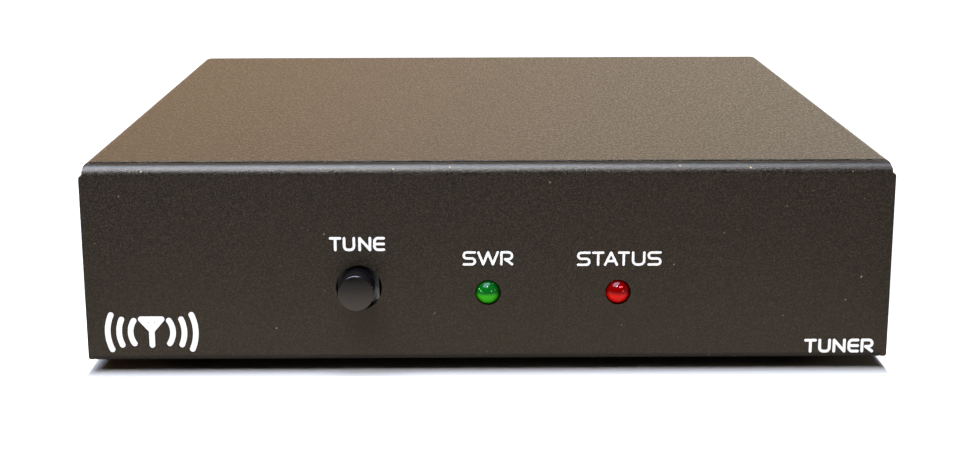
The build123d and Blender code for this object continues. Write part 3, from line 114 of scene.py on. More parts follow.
class Graph:
    """A material's node graph, with short calls for the nodes used here."""

    def __init__(self, name):
        self.material = bpy.data.materials.new(name)
        self.material.use_nodes = True
        self.tree = self.material.node_tree
        self.shader = self.tree.nodes["Principled BSDF"]
        coordinates = self.tree.nodes.new("ShaderNodeTexCoord")
        self.place = coordinates.outputs["Object"]

    def set(self, **values):
        for name, value in values.items():
            self.shader.inputs[name.replace("_", " ")].default_value = value

    def link(self, output, socket):
        self.tree.links.new(output, self.shader.inputs[socket])

    def join(self, value, socket):
        if isinstance(value, bpy.types.NodeSocket):
            self.tree.links.new(value, socket)
        else:
            socket.default_value = value

    def noise(self, size, detail=2.0, roughness=0.5, stretch=None):
        """Noise whose features are about size metres across."""
        node = self.tree.nodes.new("ShaderNodeTexNoise")
        node.inputs["Scale"].default_value = 1.0 / size
        node.inputs["Detail"].default_value = detail
        node.inputs["Roughness"].default_value = roughness
        place = self.place
        if stretch is not None:
            mapping = self.tree.nodes.new("ShaderNodeMapping")
            mapping.inputs["Scale"].default_value = stretch
            self.tree.links.new(place, mapping.inputs["Vector"])
            place = mapping.outputs["Vector"]
        self.tree.links.new(place, node.inputs["Vector"])
        return node.outputs["Fac"]

    def cells(self, size, output="Distance"):
        """Distance to the nearest of scattered points about size metres apart, or its random Color."""
        node = self.tree.nodes.new("ShaderNodeTexVoronoi")
        node.inputs["Scale"].default_value = 1.0 / size
        self.tree.links.new(self.place, node.inputs["Vector"])
        return node.outputs[output]

    def ramp(self, value, stops):
        """Colour ramp; stops are (position, colour or grey)."""
        node = self.tree.nodes.new("ShaderNodeValToRGB")
        elements = node.color_ramp.elements
        while len(elements) > 1:
            elements.remove(elements[-1])
        for index, (position, colour) in enumerate(stops):
            element = elements[0] if index == 0 else elements.new(position)
            element.position = position
            if not isinstance(colour, (tuple, list)):
                colour = (colour, colour, colour)
            element.color = (*colour, 1.0)
        self.tree.links.new(value, node.inputs["Fac"])
        return node.outputs["Color"]

    def maths(self, operation, first, second=0.0, third=0.0):
        node = self.tree.nodes.new("ShaderNodeMath")
        node.operation = operation
        for value, socket in zip((first, second, third), node.inputs):
            self.join(value, socket)
        return node.outputs["Value"]

    def mix(self, factor, first, second):
        node = self.tree.nodes.new("ShaderNodeMix")
        node.data_type = "RGBA"
        for value, index in ((factor, MIX_FACTOR), (first, MIX_FIRST), (second, MIX_SECOND)):
            if isinstance(value, (tuple, list)):
                value = (*value, 1.0)
            self.join(value, node.inputs[index])
        return node.outputs[MIX_RESULT]

    def bump(self, height, distance):
        node = self.tree.nodes.new("ShaderNodeBump")
        node.inputs["Distance"].default_value = distance
        node.inputs["Strength"].default_value = 1.0
        self.tree.links.new(height, node.inputs["Height"])
        return node.outputs["Normal"]

    def axis(self, name):
        """X, Y or Z of the point being shaded, in metres."""
        node = self.tree.nodes.new("ShaderNodeSeparateXYZ")
        self.tree.links.new(self.place, node.inputs["Vector"])
        return node.outputs[name]


# ---- Materials ----
def powder_coat(name, size, grain_and_sheen, depth, roughness, stretch=None):
    """Fine-grained black powder coat with a brown cast: pebbles, mottling, and a few light specks.

    size is that of the grains, the third argument how many times lighter their crests are than the tone,
    partly grain and partly a painted sheen, depth their height, and roughness is given for hollows and
    for crests.
    """
    graph = Graph(name)
    coarse = graph.noise(size, detail=3.0, roughness=0.6, stretch=stretch)
    fine = graph.noise(0.5 * size, detail=2.0, stretch=stretch)
    mottle = graph.noise(5.0 * MM, detail=4.0, roughness=0.6)
    grain = graph.maths("MULTIPLY_ADD", fine, 0.4, graph.maths("MULTIPLY", coarse, 0.6))
    crest = tuple(grain_and_sheen * channel for channel in COAT_TONE)
    hollow, dark, light = ([share * c for c in COAT_TONE] for share in (0.2, 0.80, 1.2))
    tone = graph.ramp(grain, [(0.43, hollow), (0.50, COAT_TONE), (0.60, crest)])
    cloud = graph.ramp(mottle, [(0.35, dark), (0.65, light)])
    base = graph.mix(0.2, tone, cloud)
    speck_shape = graph.ramp(graph.cells(SPECK_SPACING), [(0.050, 1.0), (0.080, 0.0)])
    chosen = graph.ramp(graph.cells(SPECK_SPACING, output="Color"), [(0.66, 0.0), (0.72, 1.0)])
    specks = graph.maths("MULTIPLY", speck_shape, chosen)
    graph.link(graph.mix(specks, base, SPECK_TONE), "Base Color")
    graph.link(graph.ramp(grain, [(0.42, roughness[0]), (0.60, roughness[1])]), "Roughness")
    graph.link(graph.bump(grain, depth), "Normal")
    graph.set(Specular_IOR_Level=COAT_SHINE, Specular_Tint=COAT_TINT)
    return graph.material


def brushed_metal(name, colour, roughness, grain=0.25 * MM, metallic=1.0):
    """Metal with fine drawn lines and faint stains."""
    graph = Graph(name)
    lines = graph.noise(grain, detail=3.0, stretch=(1.0, 0.12, 1.0))
    stains = graph.noise(3.5 * MM, detail=3.0)
    dark = tuple(0.72 * channel for channel in colour)
    graph.link(graph.ramp(stains, [(0.3, dark), (0.62, colour)]), "Base Color")
    graph.link(graph.ramp(stains, [(0.3, roughness + 0.12), (0.7, roughness)]), "Roughness")
    graph.link(graph.bump(lines, 0.006 * MM), "Normal")
    graph.set(Metallic=metallic)
    return graph.material


def moulded_plastic(name, colour, roughness, grain=0.18 * MM, depth=0.006 * MM):
    """Plastic, rubber or enamel with a fine grain, and with lighter and duller patches of wear."""
    graph = Graph(name)
    graph.set(Specular_IOR_Level=0.5, Specular_Tint=PLASTIC_TINT)
    texture = graph.noise(grain, detail=2.0)
    wear = graph.noise(2.2 * MM, detail=4.0)
    light = tuple(min(1.0, 1.25 * channel + 0.002) for channel in colour)
    graph.link(graph.ramp(wear, [(0.35, colour), (0.75, light)]), "Base Color")
    graph.link(graph.ramp(wear, [(0.3, roughness), (0.7, roughness + 0.1)]), "Roughness")
    graph.link(graph.bump(texture, depth), "Normal")
    return graph.material


def uneven_height(graph, node, wave, depth):
    """Height as a share of the node's own, pushed up and down by noise of that size and depth."""
    low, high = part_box(node)
    uneven = graph.maths("MULTIPLY_ADD", graph.noise(wave), depth, graph.axis("Z"))
    return graph.maths("DIVIDE", graph.maths("SUBTRACT", uneven, low[2]), high[2] - low[2])


def shaded_plastic(name, node, upper, lower):
    """Grey plastic, painted dark towards the top of the node as painted shade, where the panel shades
    it, and its own grey towards the bottom.
    """
    graph = Graph(name)
    share = uneven_height(graph, node, 1.2 * MM, 1.2 * MM)
    # Painted shade: darker above and lighter below, as the light falls on it.
    graph.link(graph.ramp(share, [(0.20, lower), (0.48, upper)]), "Base Color")
    graph.link(graph.ramp(graph.noise(0.8 * MM), [(0.3, 0.42), (0.7, 0.55)]), "Roughness")
    graph.link(graph.bump(graph.noise(0.2 * MM), 0.005 * MM), "Normal")
    return graph.material


def floor_reflecting_plastic(name, node, colour, painted_reflection):
    """Glossy black plastic, painted lighter towards the bottom of the node as a painted reflection of
    the floor.
    """
    graph = Graph(name)
    share = uneven_height(graph, node, 1.5 * MM, 0.8 * MM)
    # Painted reflection: the lower part is lighter, for the floor mirrored in the cap's face.
    graph.link(graph.ramp(share, [(0.15, painted_reflection), (0.68, colour)]), "Base Color")
    graph.link(graph.ramp(graph.noise(2.2 * MM, detail=4.0), [(0.3, 0.15), (0.7, 0.24)]), "Roughness")
    graph.link(graph.bump(graph.noise(0.18 * MM, detail=2.0), 0.006 * MM), "Normal")
    graph.set(Specular_IOR_Level=0.26, Specular_Tint=(1.0, 0.86, 0.76, 1.0))
    return graph.material


def lamp_epoxy(name, node, shade, painted_light):
    """Tinted epoxy dome: its upper half is deep in colour, and its lower half is painted bright and
    glowing, as painted light for the floor seen through the dome; the lamp itself is off.
    """
    low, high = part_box(node)
    middle_x = (low[0] + high[0]) / 2
    middle_z = (low[2] + high[2]) / 2
    radius = (high[0] - low[0]) / 2
    graph = Graph(name)
    rise = graph.maths("SUBTRACT", graph.axis("Z"), middle_z)
    aside = graph.maths("SUBTRACT", graph.axis("X"), middle_x)
    wobble = graph.maths("MULTIPLY_ADD", graph.noise(1.4 * MM, detail=1.0), 0.3 * MM, rise)
    height = graph.maths("DIVIDE", graph.maths("ADD", wobble, radius), 2 * radius)
    # Painted shade: the very bottom of the dome is darker.
    painted_bottom_shade = [0.55 * channel for channel in painted_light]
    # Painted light: the lower half is bright, though the lamp is off.
    body = graph.ramp(height, [(0.0, painted_bottom_shade), (0.25, painted_light), (0.42, painted_light), (0.54, shade), (1.0, shade)])
    # Painted glints: a few bright specks in the upper half.
    painted_glint_spots = graph.ramp(graph.cells(GLINT_SPACING), [(0.14, 1.0), (0.24, 0.0)])
    above = graph.ramp(height, [(0.55, 0.0), (0.65, 1.0)])
    picked = graph.ramp(graph.cells(GLINT_SPACING, output="Color"), [(0.45, 0.0), (0.55, 0.6)])
    painted_glints = graph.maths("MULTIPLY", graph.maths("MULTIPLY", painted_glint_spots, above), picked)
    body = graph.mix(painted_glints, body, [3.5 * channel + 0.10 for channel in painted_light])
    # Painted shadow: the rim darkens where the edge of the panel's hole shades the dome.
    squared = graph.maths("MULTIPLY_ADD", rise, rise, graph.maths("MULTIPLY", aside, aside))
    out = graph.maths("DIVIDE", graph.maths("SQRT", squared), radius)
    painted_rim_shadow = graph.ramp(out, [(0.58, 1.0), (0.94, 0.04)])
    lit = graph.mix(painted_rim_shadow, [0.15 * channel for channel in shade], body)
    graph.link(lit, "Base Color")
    # The painted colour is also emitted, so the dome glows though the lamp is off.
    graph.link(lit, "Emission Color")
    graph.link(graph.ramp(graph.noise(0.9 * MM), [(0.3, 0.05), (0.7, 0.09)]), "Roughness")
    graph.set(Emission_Strength=1.0, Specular_IOR_Level=0.08)
    return graph.material


def paint_ink(name):
    """Matt white screen-printing ink, a little uneven."""
    graph = Graph(name)
    edge = graph.noise(0.25 * MM, detail=3.0)
    graph.link(graph.ramp(edge, [(0.25, INK_THIN), (0.6, INK_FULL)]), "Base Color")
    graph.link(graph.ramp(edge, [(0.3, 0.45), (0.7, 0.6)]), "Roughness")
    graph.link(graph.bump(edge, 0.004 * MM), "Normal")
    return graph.material


def board_mask(name):
    """Green solder mask with faint tracks under it."""
    graph = Graph(name)
    tracks = graph.tree.nodes.new("ShaderNodeTexBrick")
    tracks.inputs["Scale"].default_value = 1.0 / (9.0 * MM)
    tracks.inputs["Mortar Size"].default_value = 0.05
    tracks.inputs["Color1"].default_value = (0.010, 0.085, 0.030, 1.0)
    tracks.inputs["Color2"].default_value = (0.012, 0.100, 0.036, 1.0)
    tracks.inputs["Mortar"].default_value = (0.030, 0.190, 0.075, 1.0)
    graph.tree.links.new(graph.place, tracks.inputs["Vector"])
    graph.link(tracks.outputs["Color"], "Base Color")
    graph.link(graph.ramp(graph.noise(2.0 * MM), [(0.3, 0.28), (0.7, 0.42)]), "Roughness")
    graph.link(graph.bump(tracks.outputs["Fac"], 0.02 * MM), "Normal")
    return graph.material


def wound_wire(name):
    """Copper wire under clear enamel, with streaks."""
    graph = Graph(name)
    streak = graph.noise(0.6 * MM, detail=3.0)
    graph.link(graph.ramp(streak, [(0.3, (0.38, 0.10, 0.03)), (0.7, (0.62, 0.20, 0.06))]), "Base Color")
    graph.link(graph.ramp(streak, [(0.3, 0.18), (0.7, 0.32)]), "Roughness")
    graph.link(graph.bump(streak, 0.01 * MM), "Normal")
    graph.set(Metallic=0.8, Coat_Weight=0.6)
    return graph.material


COAT_TONE = (0.0028, 0.0018, 0.0010)
COAT_SHINE = 0.262
COAT_TINT = (1.0, 0.82, 0.615, 1.0)
SPECK_SPACING = 2.4 * MM
SPECK_TONE = (0.20, 0.12, 0.05)
PLASTIC_TINT = (1.0, 0.90, 0.80, 1.0)
# The cap's second colour, for its lower part, is a painted reflection of the floor.
CAP_BLACK, CAP_PAINTED_REFLECTION = (0.0015, 0.0012, 0.0012), (0.0125, 0.0095, 0.0060)
# The switch body's upper colour is painted shade; the lower one is its own grey.
SWITCH_PAINTED_SHADE, SWITCH_GREY = (0.010, 0.010, 0.010), (0.165, 0.152, 0.130)
GLINT_SPACING = 0.75 * MM
# The lamps' dark colours are their upper halves; their light colours are painted light, and glow.
GREEN_SHADE, GREEN_PAINTED_LIGHT = (0.0005, 0.030, 0.002), (0.010, 0.133, 0.000)
RED_SHADE, RED_PAINTED_LIGHT = (0.060, 0.000, 0.000), (0.235, 0.001, 0.000)
INK_THIN, INK_FULL = (0.345, 0.305, 0.255), (0.42, 0.370, 0.310)
COVER_STRETCH = (1.0, 0.32, 1.0)
MATERIALS = {
    "front_coat": powder_coat("front_coat", 0.36 * MM, 5.8, 0.08 * MM, (0.33, 0.43)),
    # Same paint as the front, but its crests are painted about twice as light: a painted sheen for the
    # light the top catches at a low angle.
    "cover_coat": powder_coat("cover_coat", 0.55 * MM, 12.0, 0.40 * MM, (0.28, 0.50), COVER_STRETCH),
    "black_screw": brushed_metal("black_screw", (0.035, 0.034, 0.033), 0.38, metallic=0.8),
    "zinc_steel": brushed_metal("zinc_steel", (0.56, 0.58, 0.60), 0.30),
    "nickel_plate": brushed_metal("nickel_plate", (0.66, 0.63, 0.57), 0.20),
    "brass": brushed_metal("brass", (0.68, 0.48, 0.20), 0.26),
    "silver_contact": brushed_metal("silver_contact", (0.78, 0.76, 0.70), 0.22),
    "tinned_wire": brushed_metal("tinned_wire", (0.66, 0.67, 0.66), 0.34),
    "spring_steel": brushed_metal("spring_steel", (0.42, 0.42, 0.43), 0.28),
    "crystal_can": brushed_metal("crystal_can", (0.66, 0.67, 0.69), 0.24),
    "enamel_wire": wound_wire("enamel_wire"),
    "foot_rubber": moulded_plastic("foot_rubber", (0.012, 0.011, 0.010), 0.78, 0.3 * MM, 0.02 * MM),
    "button_plastic": floor_reflecting_plastic("button_plastic", "tune_button_cap", CAP_BLACK, CAP_PAINTED_REFLECTION),
    "switch_plastic": shaded_plastic("switch_plastic", "tune_switch_body", SWITCH_PAINTED_SHADE, SWITCH_GREY),
    "plunger_plastic": moulded_plastic("plunger_plastic", (0.030, 0.029, 0.028), 0.45),
    "holder_plastic": moulded_plastic("holder_plastic", (0.014, 0.014, 0.014), 0.50),
    "socket_insulator": moulded_plastic("socket_insulator", (0.74, 0.73, 0.68), 0.42),
    "jack_plastic": moulded_plastic("jack_plastic", (0.014, 0.014, 0.015), 0.34),
    "relay_case": moulded_plastic("relay_case", (0.020, 0.075, 0.260), 0.32),
    "ring_core": moulded_plastic("ring_core", (0.420, 0.035, 0.022), 0.44, 0.5 * MM, 0.03 * MM),
    "disc_coat": moulded_plastic("disc_coat", (0.500, 0.200, 0.035), 0.30, 0.8 * MM, 0.03 * MM),
    "chip_package": moulded_plastic("chip_package", (0.022, 0.022, 0.023), 0.52),
    "capacitor_sleeve": moulded_plastic("capacitor_sleeve", (0.018, 0.028, 0.090), 0.30),
    "resistor_body": moulded_plastic("resistor_body", (0.025, 0.024, 0.024), 0.40),
    "board_laminate": board_mask("board_laminate"),
    "green_epoxy": lamp_epoxy("green_epoxy", "swr_led", GREEN_SHADE, GREEN_PAINTED_LIGHT),
    "red_epoxy": lamp_epoxy("red_epoxy", "status_led", RED_SHADE, RED_PAINTED_LIGHT),
}
SLOTS = {entry["node"]: entry["material_slot"] for entry in frame["record"]["subparts"]}


def dress(piece, material):
    piece.data.materials.clear()
    piece.data.materials.append(material)


for node_name, node in nodes.items():
    dress(node, MATERIALS[SLOTS[node_name]])


def stand_in(data, node_name):
    """A piece on the root body that is shown in place of a node, with the node's own material."""
    piece = bpy.data.objects.new(data.name, data)
    bpy.context.scene.collection.objects.link(piece)
    dress(piece, MATERIALS[SLOTS[node_name]])
    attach(piece, "root")
    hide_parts(node_name)
    return piece


# ---- Return spring: a copy of the node's mesh, shown in its place ----
spring_data = nodes["tune_switch_spring"].data.copy()
spring_data.name = "return_spring"
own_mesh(stand_in(spring_data, "tune_switch_spring"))


# ---- Screw threads: the sockets and the ground stud, with real ridges cut into their outsides ----
THREAD_SIDES = 64
THREAD_STEPS = 8
THREAD_MARGIN = 0.02 * MM
SHARP_EDGE = radians(28)
SOCKET_THREAD = {
    "radius": 7.94 * MM,
    "start": 3.5 * MM,
    "end": 14.8 * MM,
    "pitch": 1.058 * MM,
    "depth": 0.50 * MM,
}
STUD_THREAD = {
    "radius": 2.08 * MM,
    "start": 10.4 * MM,
    "end": 14.9 * MM,
    "pitch": 0.794 * MM,
    "depth": 0.30 * MM,
}


def on_cylinder(vert, axis, radius):
    return abs(hypot(vert.co.x - axis[0], vert.co.z - axis[1]) - radius) < 2 * THREAD_MARGIN


def cut_thread(node_name, radius, start, end, pitch, depth):
    """Replace a node with a copy whose cylinder is threaded from start to end beyond the rear panel.

    The smooth skin between the two ends is taken off, and a ridged one, which fades out at its ends,
    is put in its place.
    """
    low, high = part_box(node_name)
    axis = ((low[0] + high[0]) / 2, (low[2] + high[2]) / 2)
    start_y, end_y = REAR_Y + start, REAR_Y + end
    mesh = bmesh.new()
    mesh.from_mesh(nodes[node_name].data)
    bmesh.ops.remove_doubles(mesh, verts=mesh.verts, dist=1e-6)
    for y in (start_y, end_y):
        everything = list(mesh.verts) + list(mesh.edges) + list(mesh.faces)
        bmesh.ops.bisect_plane(mesh, geom=everything, plane_co=(0.0, y, 0.0), plane_no=(0.0, 1.0, 0.0))
    skin = [
        face
        for face in mesh.faces
        if start_y < face.calc_center_median().y < end_y
        and all(on_cylinder(vert, axis, radius) for vert in face.verts)
    ]
    bmesh.ops.delete(mesh, geom=skin, context="FACES")
    rows = ceil((end - start) / pitch * THREAD_STEPS)
    rings = []
    for row in range(rows + 1):
        y = start_y - THREAD_MARGIN + (end_y - start_y + 2 * THREAD_MARGIN) * row / rows
        from_start = y - start_y + THREAD_MARGIN
        from_end = end_y + THREAD_MARGIN - y
        fade = min(1.0, 2 * from_start / pitch, 2 * from_end / pitch)
        ring = []
        for side in range(THREAD_SIDES):
            share = side / THREAD_SIDES
            phase = (y / pitch + share) % 1.0
            r = radius - depth * fade * abs(2 * phase - 1)
            angle = 2 * pi * share
            ring.append(mesh.verts.new((axis[0] + r * cos(angle), y, axis[1] + r * sin(angle))))
        rings.append(ring)
    for below, above in zip(rings, rings[1:]):
        for side in range(THREAD_SIDES):
            after = (side + 1) % THREAD_SIDES
            mesh.faces.new((below[side], above[side], above[after], below[after]))
    for face in mesh.faces:
        face.smooth = True
    data = bpy.data.meshes.new(node_name + "_threaded")
    mesh.to_mesh(data)
    mesh.free()
    data.set_sharp_from_angle(angle=SHARP_EDGE)
    stand_in(data, node_name)


cut_thread("rig_socket_shell", **SOCKET_THREAD)
cut_thread("antenna_socket_shell", **SOCKET_THREAD)
cut_thread("ground_stud", **STUD_THREAD)


# ---- Printed marks: thin raised pieces of ink, drawn as strokes with round ends ----
# Strokes are lists of points in millimetres, and so are the words' sizes and places.
INK = paint_ink("panel_ink")
INK_THICKNESS = 0.02 * MM
GRID = 0.045


def arc(centre_x, centre_y, radius_x, radius_y, start, end, steps=8):
    """Points on an elliptical arc; angles in degrees."""
    points = []
    for step in range(steps + 1):
        angle = radians(start + (end - start) * step / steps)
        points.append((centre_x + radius_x * cos(angle), centre_y + radius_y * sin(angle)))
    return points


def letter_strokes(letter, width, height):
    """Centre lines of a wide, round-cornered capital, from its lower left corner."""
    w, h = width, height
    r = min(0.34 * h, 0.4 * w)
    if letter == "T":
        return [[(0, h), (w, h)], [(w / 2, 0), (w / 2, h)]]
    if letter == "U":
        return [
            [(0, h)] + arc(r, r, r, r, 180, 270) + arc(w - r, r, r, r, 270, 360) + [(w, h)],
        ]
    if letter == "N":
        return [[(0, 0), (0, h), (w, 0), (w, h)]]
    if letter == "E":
        return [
            [(w, h)] + arc(r, h - r, r, r, 90, 180) + arc(r, r, r, r, 180, 270) + [(w, 0)],
            [(0, h / 2), (w, h / 2)],
        ]
    if letter == "S":
        q = h / 4
        return [
            [(w, h)]
            + arc(q, h - q, q, q, 90, 270)
            + arc(w - q, q, q, q, 90, -90)
            + [(0, 0)],
        ]
    if letter == "W":
        return [[(0, h), (0.25 * w, 0), (0.5 * w, h), (0.75 * w, 0), (w, h)]]
    if letter == "A":
        return [[(0, 0), (0.5 * w, h), (w, 0)], [(0.2 * w, 0.3 * h), (0.8 * w, 0.3 * h)]]
    if letter == "R":
        q = 0.29 * h
        return [
            [(0, 0), (0, h)] + arc(w - q, h - q, q, q, 90, -90) + [(0.35 * w, h - 2 * q), (w, 0)],
        ]
    raise ValueError(letter)


def shifted(strokes, x, y):
    return [[(px + x, py + y) for px, py in stroke] for stroke in strokes]


def word_strokes(letters, height, line):
    """Strokes of a word; letters are (letter, left edge, width), with the line's width in both."""
    strokes = []
    for letter, left, width in letters:
        shape = letter_strokes(letter, width - line, height - line)
        strokes += shifted(shape, left + line / 2, line / 2)
    return strokes


def distance_to_strokes(x, y, strokes):
    nearest = 1e9
    for stroke in strokes:
        for (ax, ay), (bx, by) in zip(stroke, stroke[1:]):
            dx, dy = bx - ax, by - ay
            span = dx * dx + dy * dy
            along = 0.0 if span == 0 else max(0.0, min(1.0, ((x - ax) * dx + (y - ay) * dy) / span))
            nearest = min(nearest, hypot(x - ax - along * dx, y - ay - along * dy))
    return nearest


def ink_mesh(strokes, line):
    """Flat faces that cover every point nearer to the strokes than half the line's width."""
    half = line / 2
    xs = [px for stroke in strokes for px, _ in stroke]
    ys = [py for stroke in strokes for _, py in stroke]
    left, bottom = min(xs) - line, min(ys) - line
    columns = ceil((max(xs) + line - left) / GRID)
    rows = ceil((max(ys) + line - bottom) / GRID)
    field = [
        [
            half - distance_to_strokes(left + i * GRID, bottom + j * GRID, strokes)
            for i in range(columns + 1)
        ]
        for j in range(rows + 1)
    ]
    mesh = bmesh.new()
    corners = {}

    def corner(key, x, y):
        if key not in corners:
            corners[key] = mesh.verts.new((x * MM, 0.0, y * MM))
        return corners[key]

    for j in range(rows):
        for i in range(columns):
            cell = [(i, j), (i + 1, j), (i + 1, j + 1), (i, j + 1)]
            values = [field[b][a] for a, b in cell]
            if max(values) <= 0:
                continue
            loop = []
            for k in range(4):
                (a, b), (c, d) = cell[k], cell[(k + 1) % 4]
                here, there = values[k], values[(k + 1) % 4]
                if here > 0:
                    loop.append(corner((a, b), left + a * GRID, bottom + b * GRID))
                if (here > 0) != (there > 0):
                    share = here / (here - there)
                    key = tuple(sorted(((a, b), (c, d))))
                    x = left + (a + (c - a) * share) * GRID
                    y = bottom + (b + (d - b) * share) * GRID
                    loop.append(corner(key, x, y))
            if len(loop) >= 3:
                mesh.faces.new(loop)
    return mesh


def print_mark(name, strokes, line, x, z):
    """Print strokes on the front panel; x and z are where their origin goes on it."""
    mesh = ink_mesh(strokes, line)
    top = bmesh.ops.extrude_face_region(mesh, geom=list(mesh.faces))
    raised = [item for item in top["geom"] if isinstance(item, bmesh.types.BMVert)]
    bmesh.ops.translate(mesh, verts=raised, vec=(0.0, -INK_THICKNESS, 0.0))
    bmesh.ops.recalc_face_normals(mesh, faces=mesh.faces)
    data = bpy.data.meshes.new(name)
    mesh.to_mesh(data)
    mesh.free()
    piece = bpy.data.objects.new(name, data)
    bpy.context.scene.collection.objects.link(piece)
    piece.location = (x * MM, FRONT_Y, BASE_Z + z * MM)
    dress(piece, INK)
    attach(piece, "root")


# Letters of each word: (letter, left edge, width).
TUNE_WORD = [("T", 0.0, 2.36), ("U", 2.63, 2.38), ("N", 5.59, 2.48), ("E", 8.42, 2.28)]
SWR_WORD = [("S", 0.0, 2.60), ("W", 2.82, 4.15), ("R", 7.22, 2.50)]
STATUS_WORD = [
    ("S", 0.0, 2.60),
    ("T", 2.88, 2.36),
    ("A", 5.18, 2.72),
    ("T", 7.80, 2.32),
    ("U", 10.52, 2.60),
    ("S", 13.50, 2.72),
]
TUNER_WORD = [
    ("T", 0.0, 2.45),
    ("U", 2.75, 2.45),
    ("N", 5.55, 2.55),
    ("E", 8.45, 2.25),
    ("R", 11.0, 2.50),
]
# Each word's piece: name, letters, height, line width, and where its lower left corner is.
LABELS = [
    ("label_tune", TUNE_WORD, 2.79, 0.52, -30.36, 21.85),
    ("label_swr", SWR_WORD, 2.81, 0.46, -4.87, 18.92),
    ("label_status", STATUS_WORD, 2.83, 0.46, 17.08, 18.75),
    ("label_tuner", TUNER_WORD, 2.80, 0.56, 61.4, 1.15),
]
for label, letters, height, line, x, z in LABELS:
    print_mark(label, word_strokes(letters, height, line), line, x, z)

AERIAL_LINE = 1.1
AERIAL_X = -65.0
AERIAL_Z = 3.3
MAST_HEIGHT = 5.2
ARM_SPREAD = 2.0
ARM_FOOT = 2.9
WAVE_MIDDLE = 2.6
WAVES = [(4.1, 34.0), (6.3, 24.0), (8.5, 24.0)]


def aerial_strokes():
    """A mast with spread arms between two sets of wave arcs; the origin is the mast's foot."""
    left_tip, right_tip = (-ARM_SPREAD, MAST_HEIGHT), (ARM_SPREAD, MAST_HEIGHT)
    strokes = [
        [(0.0, 0.0), (0.0, MAST_HEIGHT)],
        [left_tip, (0.0, ARM_FOOT), right_tip],
        [left_tip, right_tip],
    ]
    for radius, reach in WAVES:
        for facing in (0, 180):
            strokes.append(arc(0.0, WAVE_MIDDLE, radius, radius, facing - reach, facing + reach, 12))
    return strokes


print_mark("mark_aerial", aerial_strokes(), AERIAL_LINE, AERIAL_X, AERIAL_Z)


# ---- Floor and light ----
# Light of the floor by distance from the case, as shares of FLOOR_FADE_REACH: dark where the
# case shades it, white around it, and dimmer further out, where the panels mirror it.
FLOOR_TONE = (0.155, 0.130, 0.106)
FLOOR_FADE_REACH = 0.5
FLOOR_FADE = [
    (0.0030, 0.0),
    (0.0075, 0.80),
    (0.016, 1.0),
    (0.06, 0.95),
    (0.22, 0.36),
    (0.5, 0.40),
    (1.0, 0.62),
]
FLOOR_GLOW = 1.5
FLOOR_SIDE_STRETCH = 8.0
FLOOR_WIDTH = 3.0
FLOOR_DEPTH = 3.0
FLOOR_SHIFT_Y = FLOOR_DEPTH / 2 - 0.36

# Light of the room, which the camera does not see: dim all round, and bright behind the object.
ROOM_DIM = (0.050, 0.046, 0.042)
ROOM_LEFT = (1.85, 1.09, 0.50)
ROOM_RIGHT = (2.29, 2.04, 1.63)

LIGHT_TARGET = (0.0, -0.08, 0.02)


def make_floor():
    """A sheet of paper that ends a little way in front of the box, lit up around it."""
    bpy.ops.mesh.primitive_plane_add(size=1.0, location=(0.0, FLOOR_SHIFT_Y, 0.0))
    floor = bpy.context.object
    floor.name = "floor"
    floor.scale = (FLOOR_WIDTH, FLOOR_DEPTH, 1.0)
    graph = Graph("floor_paper")
    lighter = [1.04 * channel for channel in FLOOR_TONE]
    graph.link(graph.ramp(graph.noise(0.6), [(0.3, FLOOR_TONE), (0.7, lighter)]), "Base Color")
    position = graph.tree.nodes.new("ShaderNodeNewGeometry").outputs["Position"]
    middle = [(low + high) / 2 for low, high in zip(CASE_LOW, CASE_HIGH)]
    half = [(high - low) / 2 for low, high in zip(CASE_LOW, CASE_HIGH)]
    outside = position
    for operation, vector in (
        ("SUBTRACT", (middle[0], middle[1], 0.0)),
        ("ABSOLUTE", None),
        ("SUBTRACT", (half[0], half[1], 1.0)),
        ("MAXIMUM", (0.0, 0.0, 0.0)),
        ("MULTIPLY", (FLOOR_SIDE_STRETCH, 1.0, 1.0)),
    ):
        step = graph.tree.nodes.new("ShaderNodeVectorMath")
        step.operation = operation
        graph.tree.links.new(outside, step.inputs[0])
        if vector is not None:
            step.inputs[1].default_value = vector
        outside = step.outputs["Vector"]
    away = graph.tree.nodes.new("ShaderNodeVectorMath")
    away.operation = "LENGTH"
    graph.tree.links.new(outside, away.inputs[0])
    share = graph.maths("DIVIDE", away.outputs["Value"], FLOOR_FADE_REACH)
    graph.link(graph.ramp(share, FLOOR_FADE), "Emission Color")
    graph.set(Roughness=0.95, Specular_IOR_Level=0.1, Emission_Strength=FLOOR_GLOW)
    dress(floor, graph.material)


def softbox(name, place, width, height, power, colour):
    """A rectangular lamp that is turned towards the front of the case."""
    data = bpy.data.lights.new(name, "AREA")
    data.shape = "RECTANGLE"
    data.size = width
    data.size_y = height
    data.energy = power
    data.color = colour
    light = bpy.data.objects.new(name, data)
    bpy.context.scene.collection.objects.link(light)
    place = Vector(place)
    light.location = place
    light.rotation_euler = (Vector(LIGHT_TARGET) - place).to_track_quat("-Z", "Y").to_euler()


def map_range(tree, value, low, high, to_low=0.0, to_high=1.0):
    """Turn values from low to high into values from to_low to to_high, and hold them at the ends."""
    node = tree.nodes.new("ShaderNodeMapRange")
    node.inputs["From Min"].default_value = low
    node.inputs["From Max"].default_value = high
    node.inputs["To Min"].default_value = to_low
    node.inputs["To Max"].default_value = to_high
    tree.links.new(value, node.inputs["Value"])
    return node.outputs["Result"]


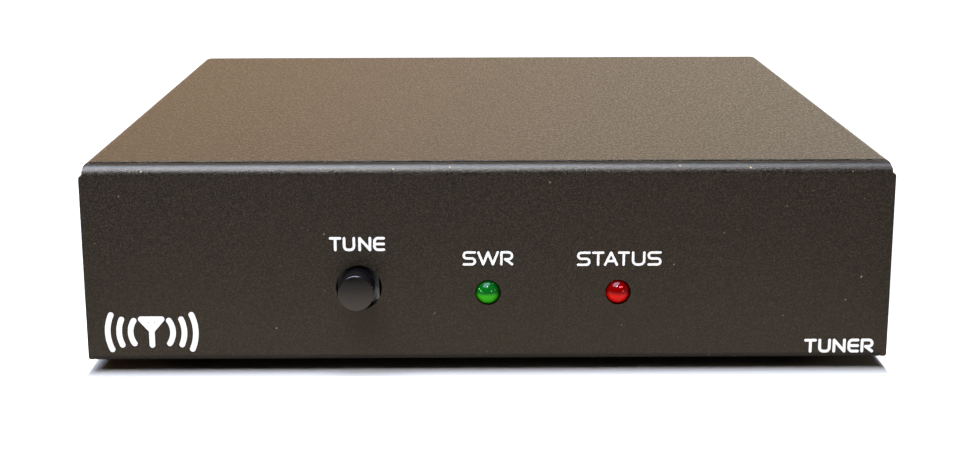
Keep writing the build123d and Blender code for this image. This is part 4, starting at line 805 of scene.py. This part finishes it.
def make_world():
    """White to the camera; to everything else a dim room, its wall behind the object bright and warm."""
    world = bpy.data.worlds.new("studio")
    world.use_nodes = True
    tree = world.node_tree
    background = tree.nodes["Background"]
    coordinates = tree.nodes.new("ShaderNodeTexCoord")
    split = tree.nodes.new("ShaderNodeSeparateXYZ")
    tree.links.new(coordinates.outputs["Generated"], split.inputs["Vector"])
    behind = map_range(tree, split.outputs["Y"], -0.2, 0.8)
    lowness = map_range(tree, split.outputs["Z"], 0.08, 0.30, 1.0, 0.18)
    wall = tree.nodes.new("ShaderNodeMath")
    wall.operation = "MULTIPLY"
    tree.links.new(behind, wall.inputs[0])
    tree.links.new(lowness, wall.inputs[1])
    sides = tree.nodes.new("ShaderNodeMix")
    sides.data_type = "RGBA"
    sides.inputs[MIX_FIRST].default_value = (*ROOM_LEFT, 1.0)
    sides.inputs[MIX_SECOND].default_value = (*ROOM_RIGHT, 1.0)
    tree.links.new(map_range(tree, split.outputs["X"], -0.35, 0.35), sides.inputs[MIX_FACTOR])
    room = tree.nodes.new("ShaderNodeMix")
    room.data_type = "RGBA"
    room.inputs[MIX_FIRST].default_value = (*ROOM_DIM, 1.0)
    tree.links.new(sides.outputs[MIX_RESULT], room.inputs[MIX_SECOND])
    tree.links.new(wall.outputs["Value"], room.inputs[MIX_FACTOR])
    rays = tree.nodes.new("ShaderNodeLightPath")
    seen = tree.nodes.new("ShaderNodeMix")
    seen.data_type = "RGBA"
    seen.inputs[MIX_SECOND].default_value = (1.0, 1.0, 1.0, 1.0)
    tree.links.new(rays.outputs["Is Camera Ray"], seen.inputs[MIX_FACTOR])
    tree.links.new(room.outputs[MIX_RESULT], seen.inputs[MIX_FIRST])
    tree.links.new(seen.outputs[MIX_RESULT], background.inputs["Color"])
    bpy.context.scene.world = world
    bpy.context.scene.view_settings.view_transform = "Standard"


make_floor()
make_world()
softbox("overhead_softbox", (-0.18, -0.30, 0.86), 0.66, 0.95, 70.0, (0.62, 0.795, 1.14))
softbox("catch_light", (-0.06, -0.55, 0.66), 0.05, 0.05, 5.0, (1.0, 1.0, 1.0))
softbox("side_light", (1.20, -0.55, 0.30), 0.09, 0.09, 3.0, (1.0, 0.96, 0.86))
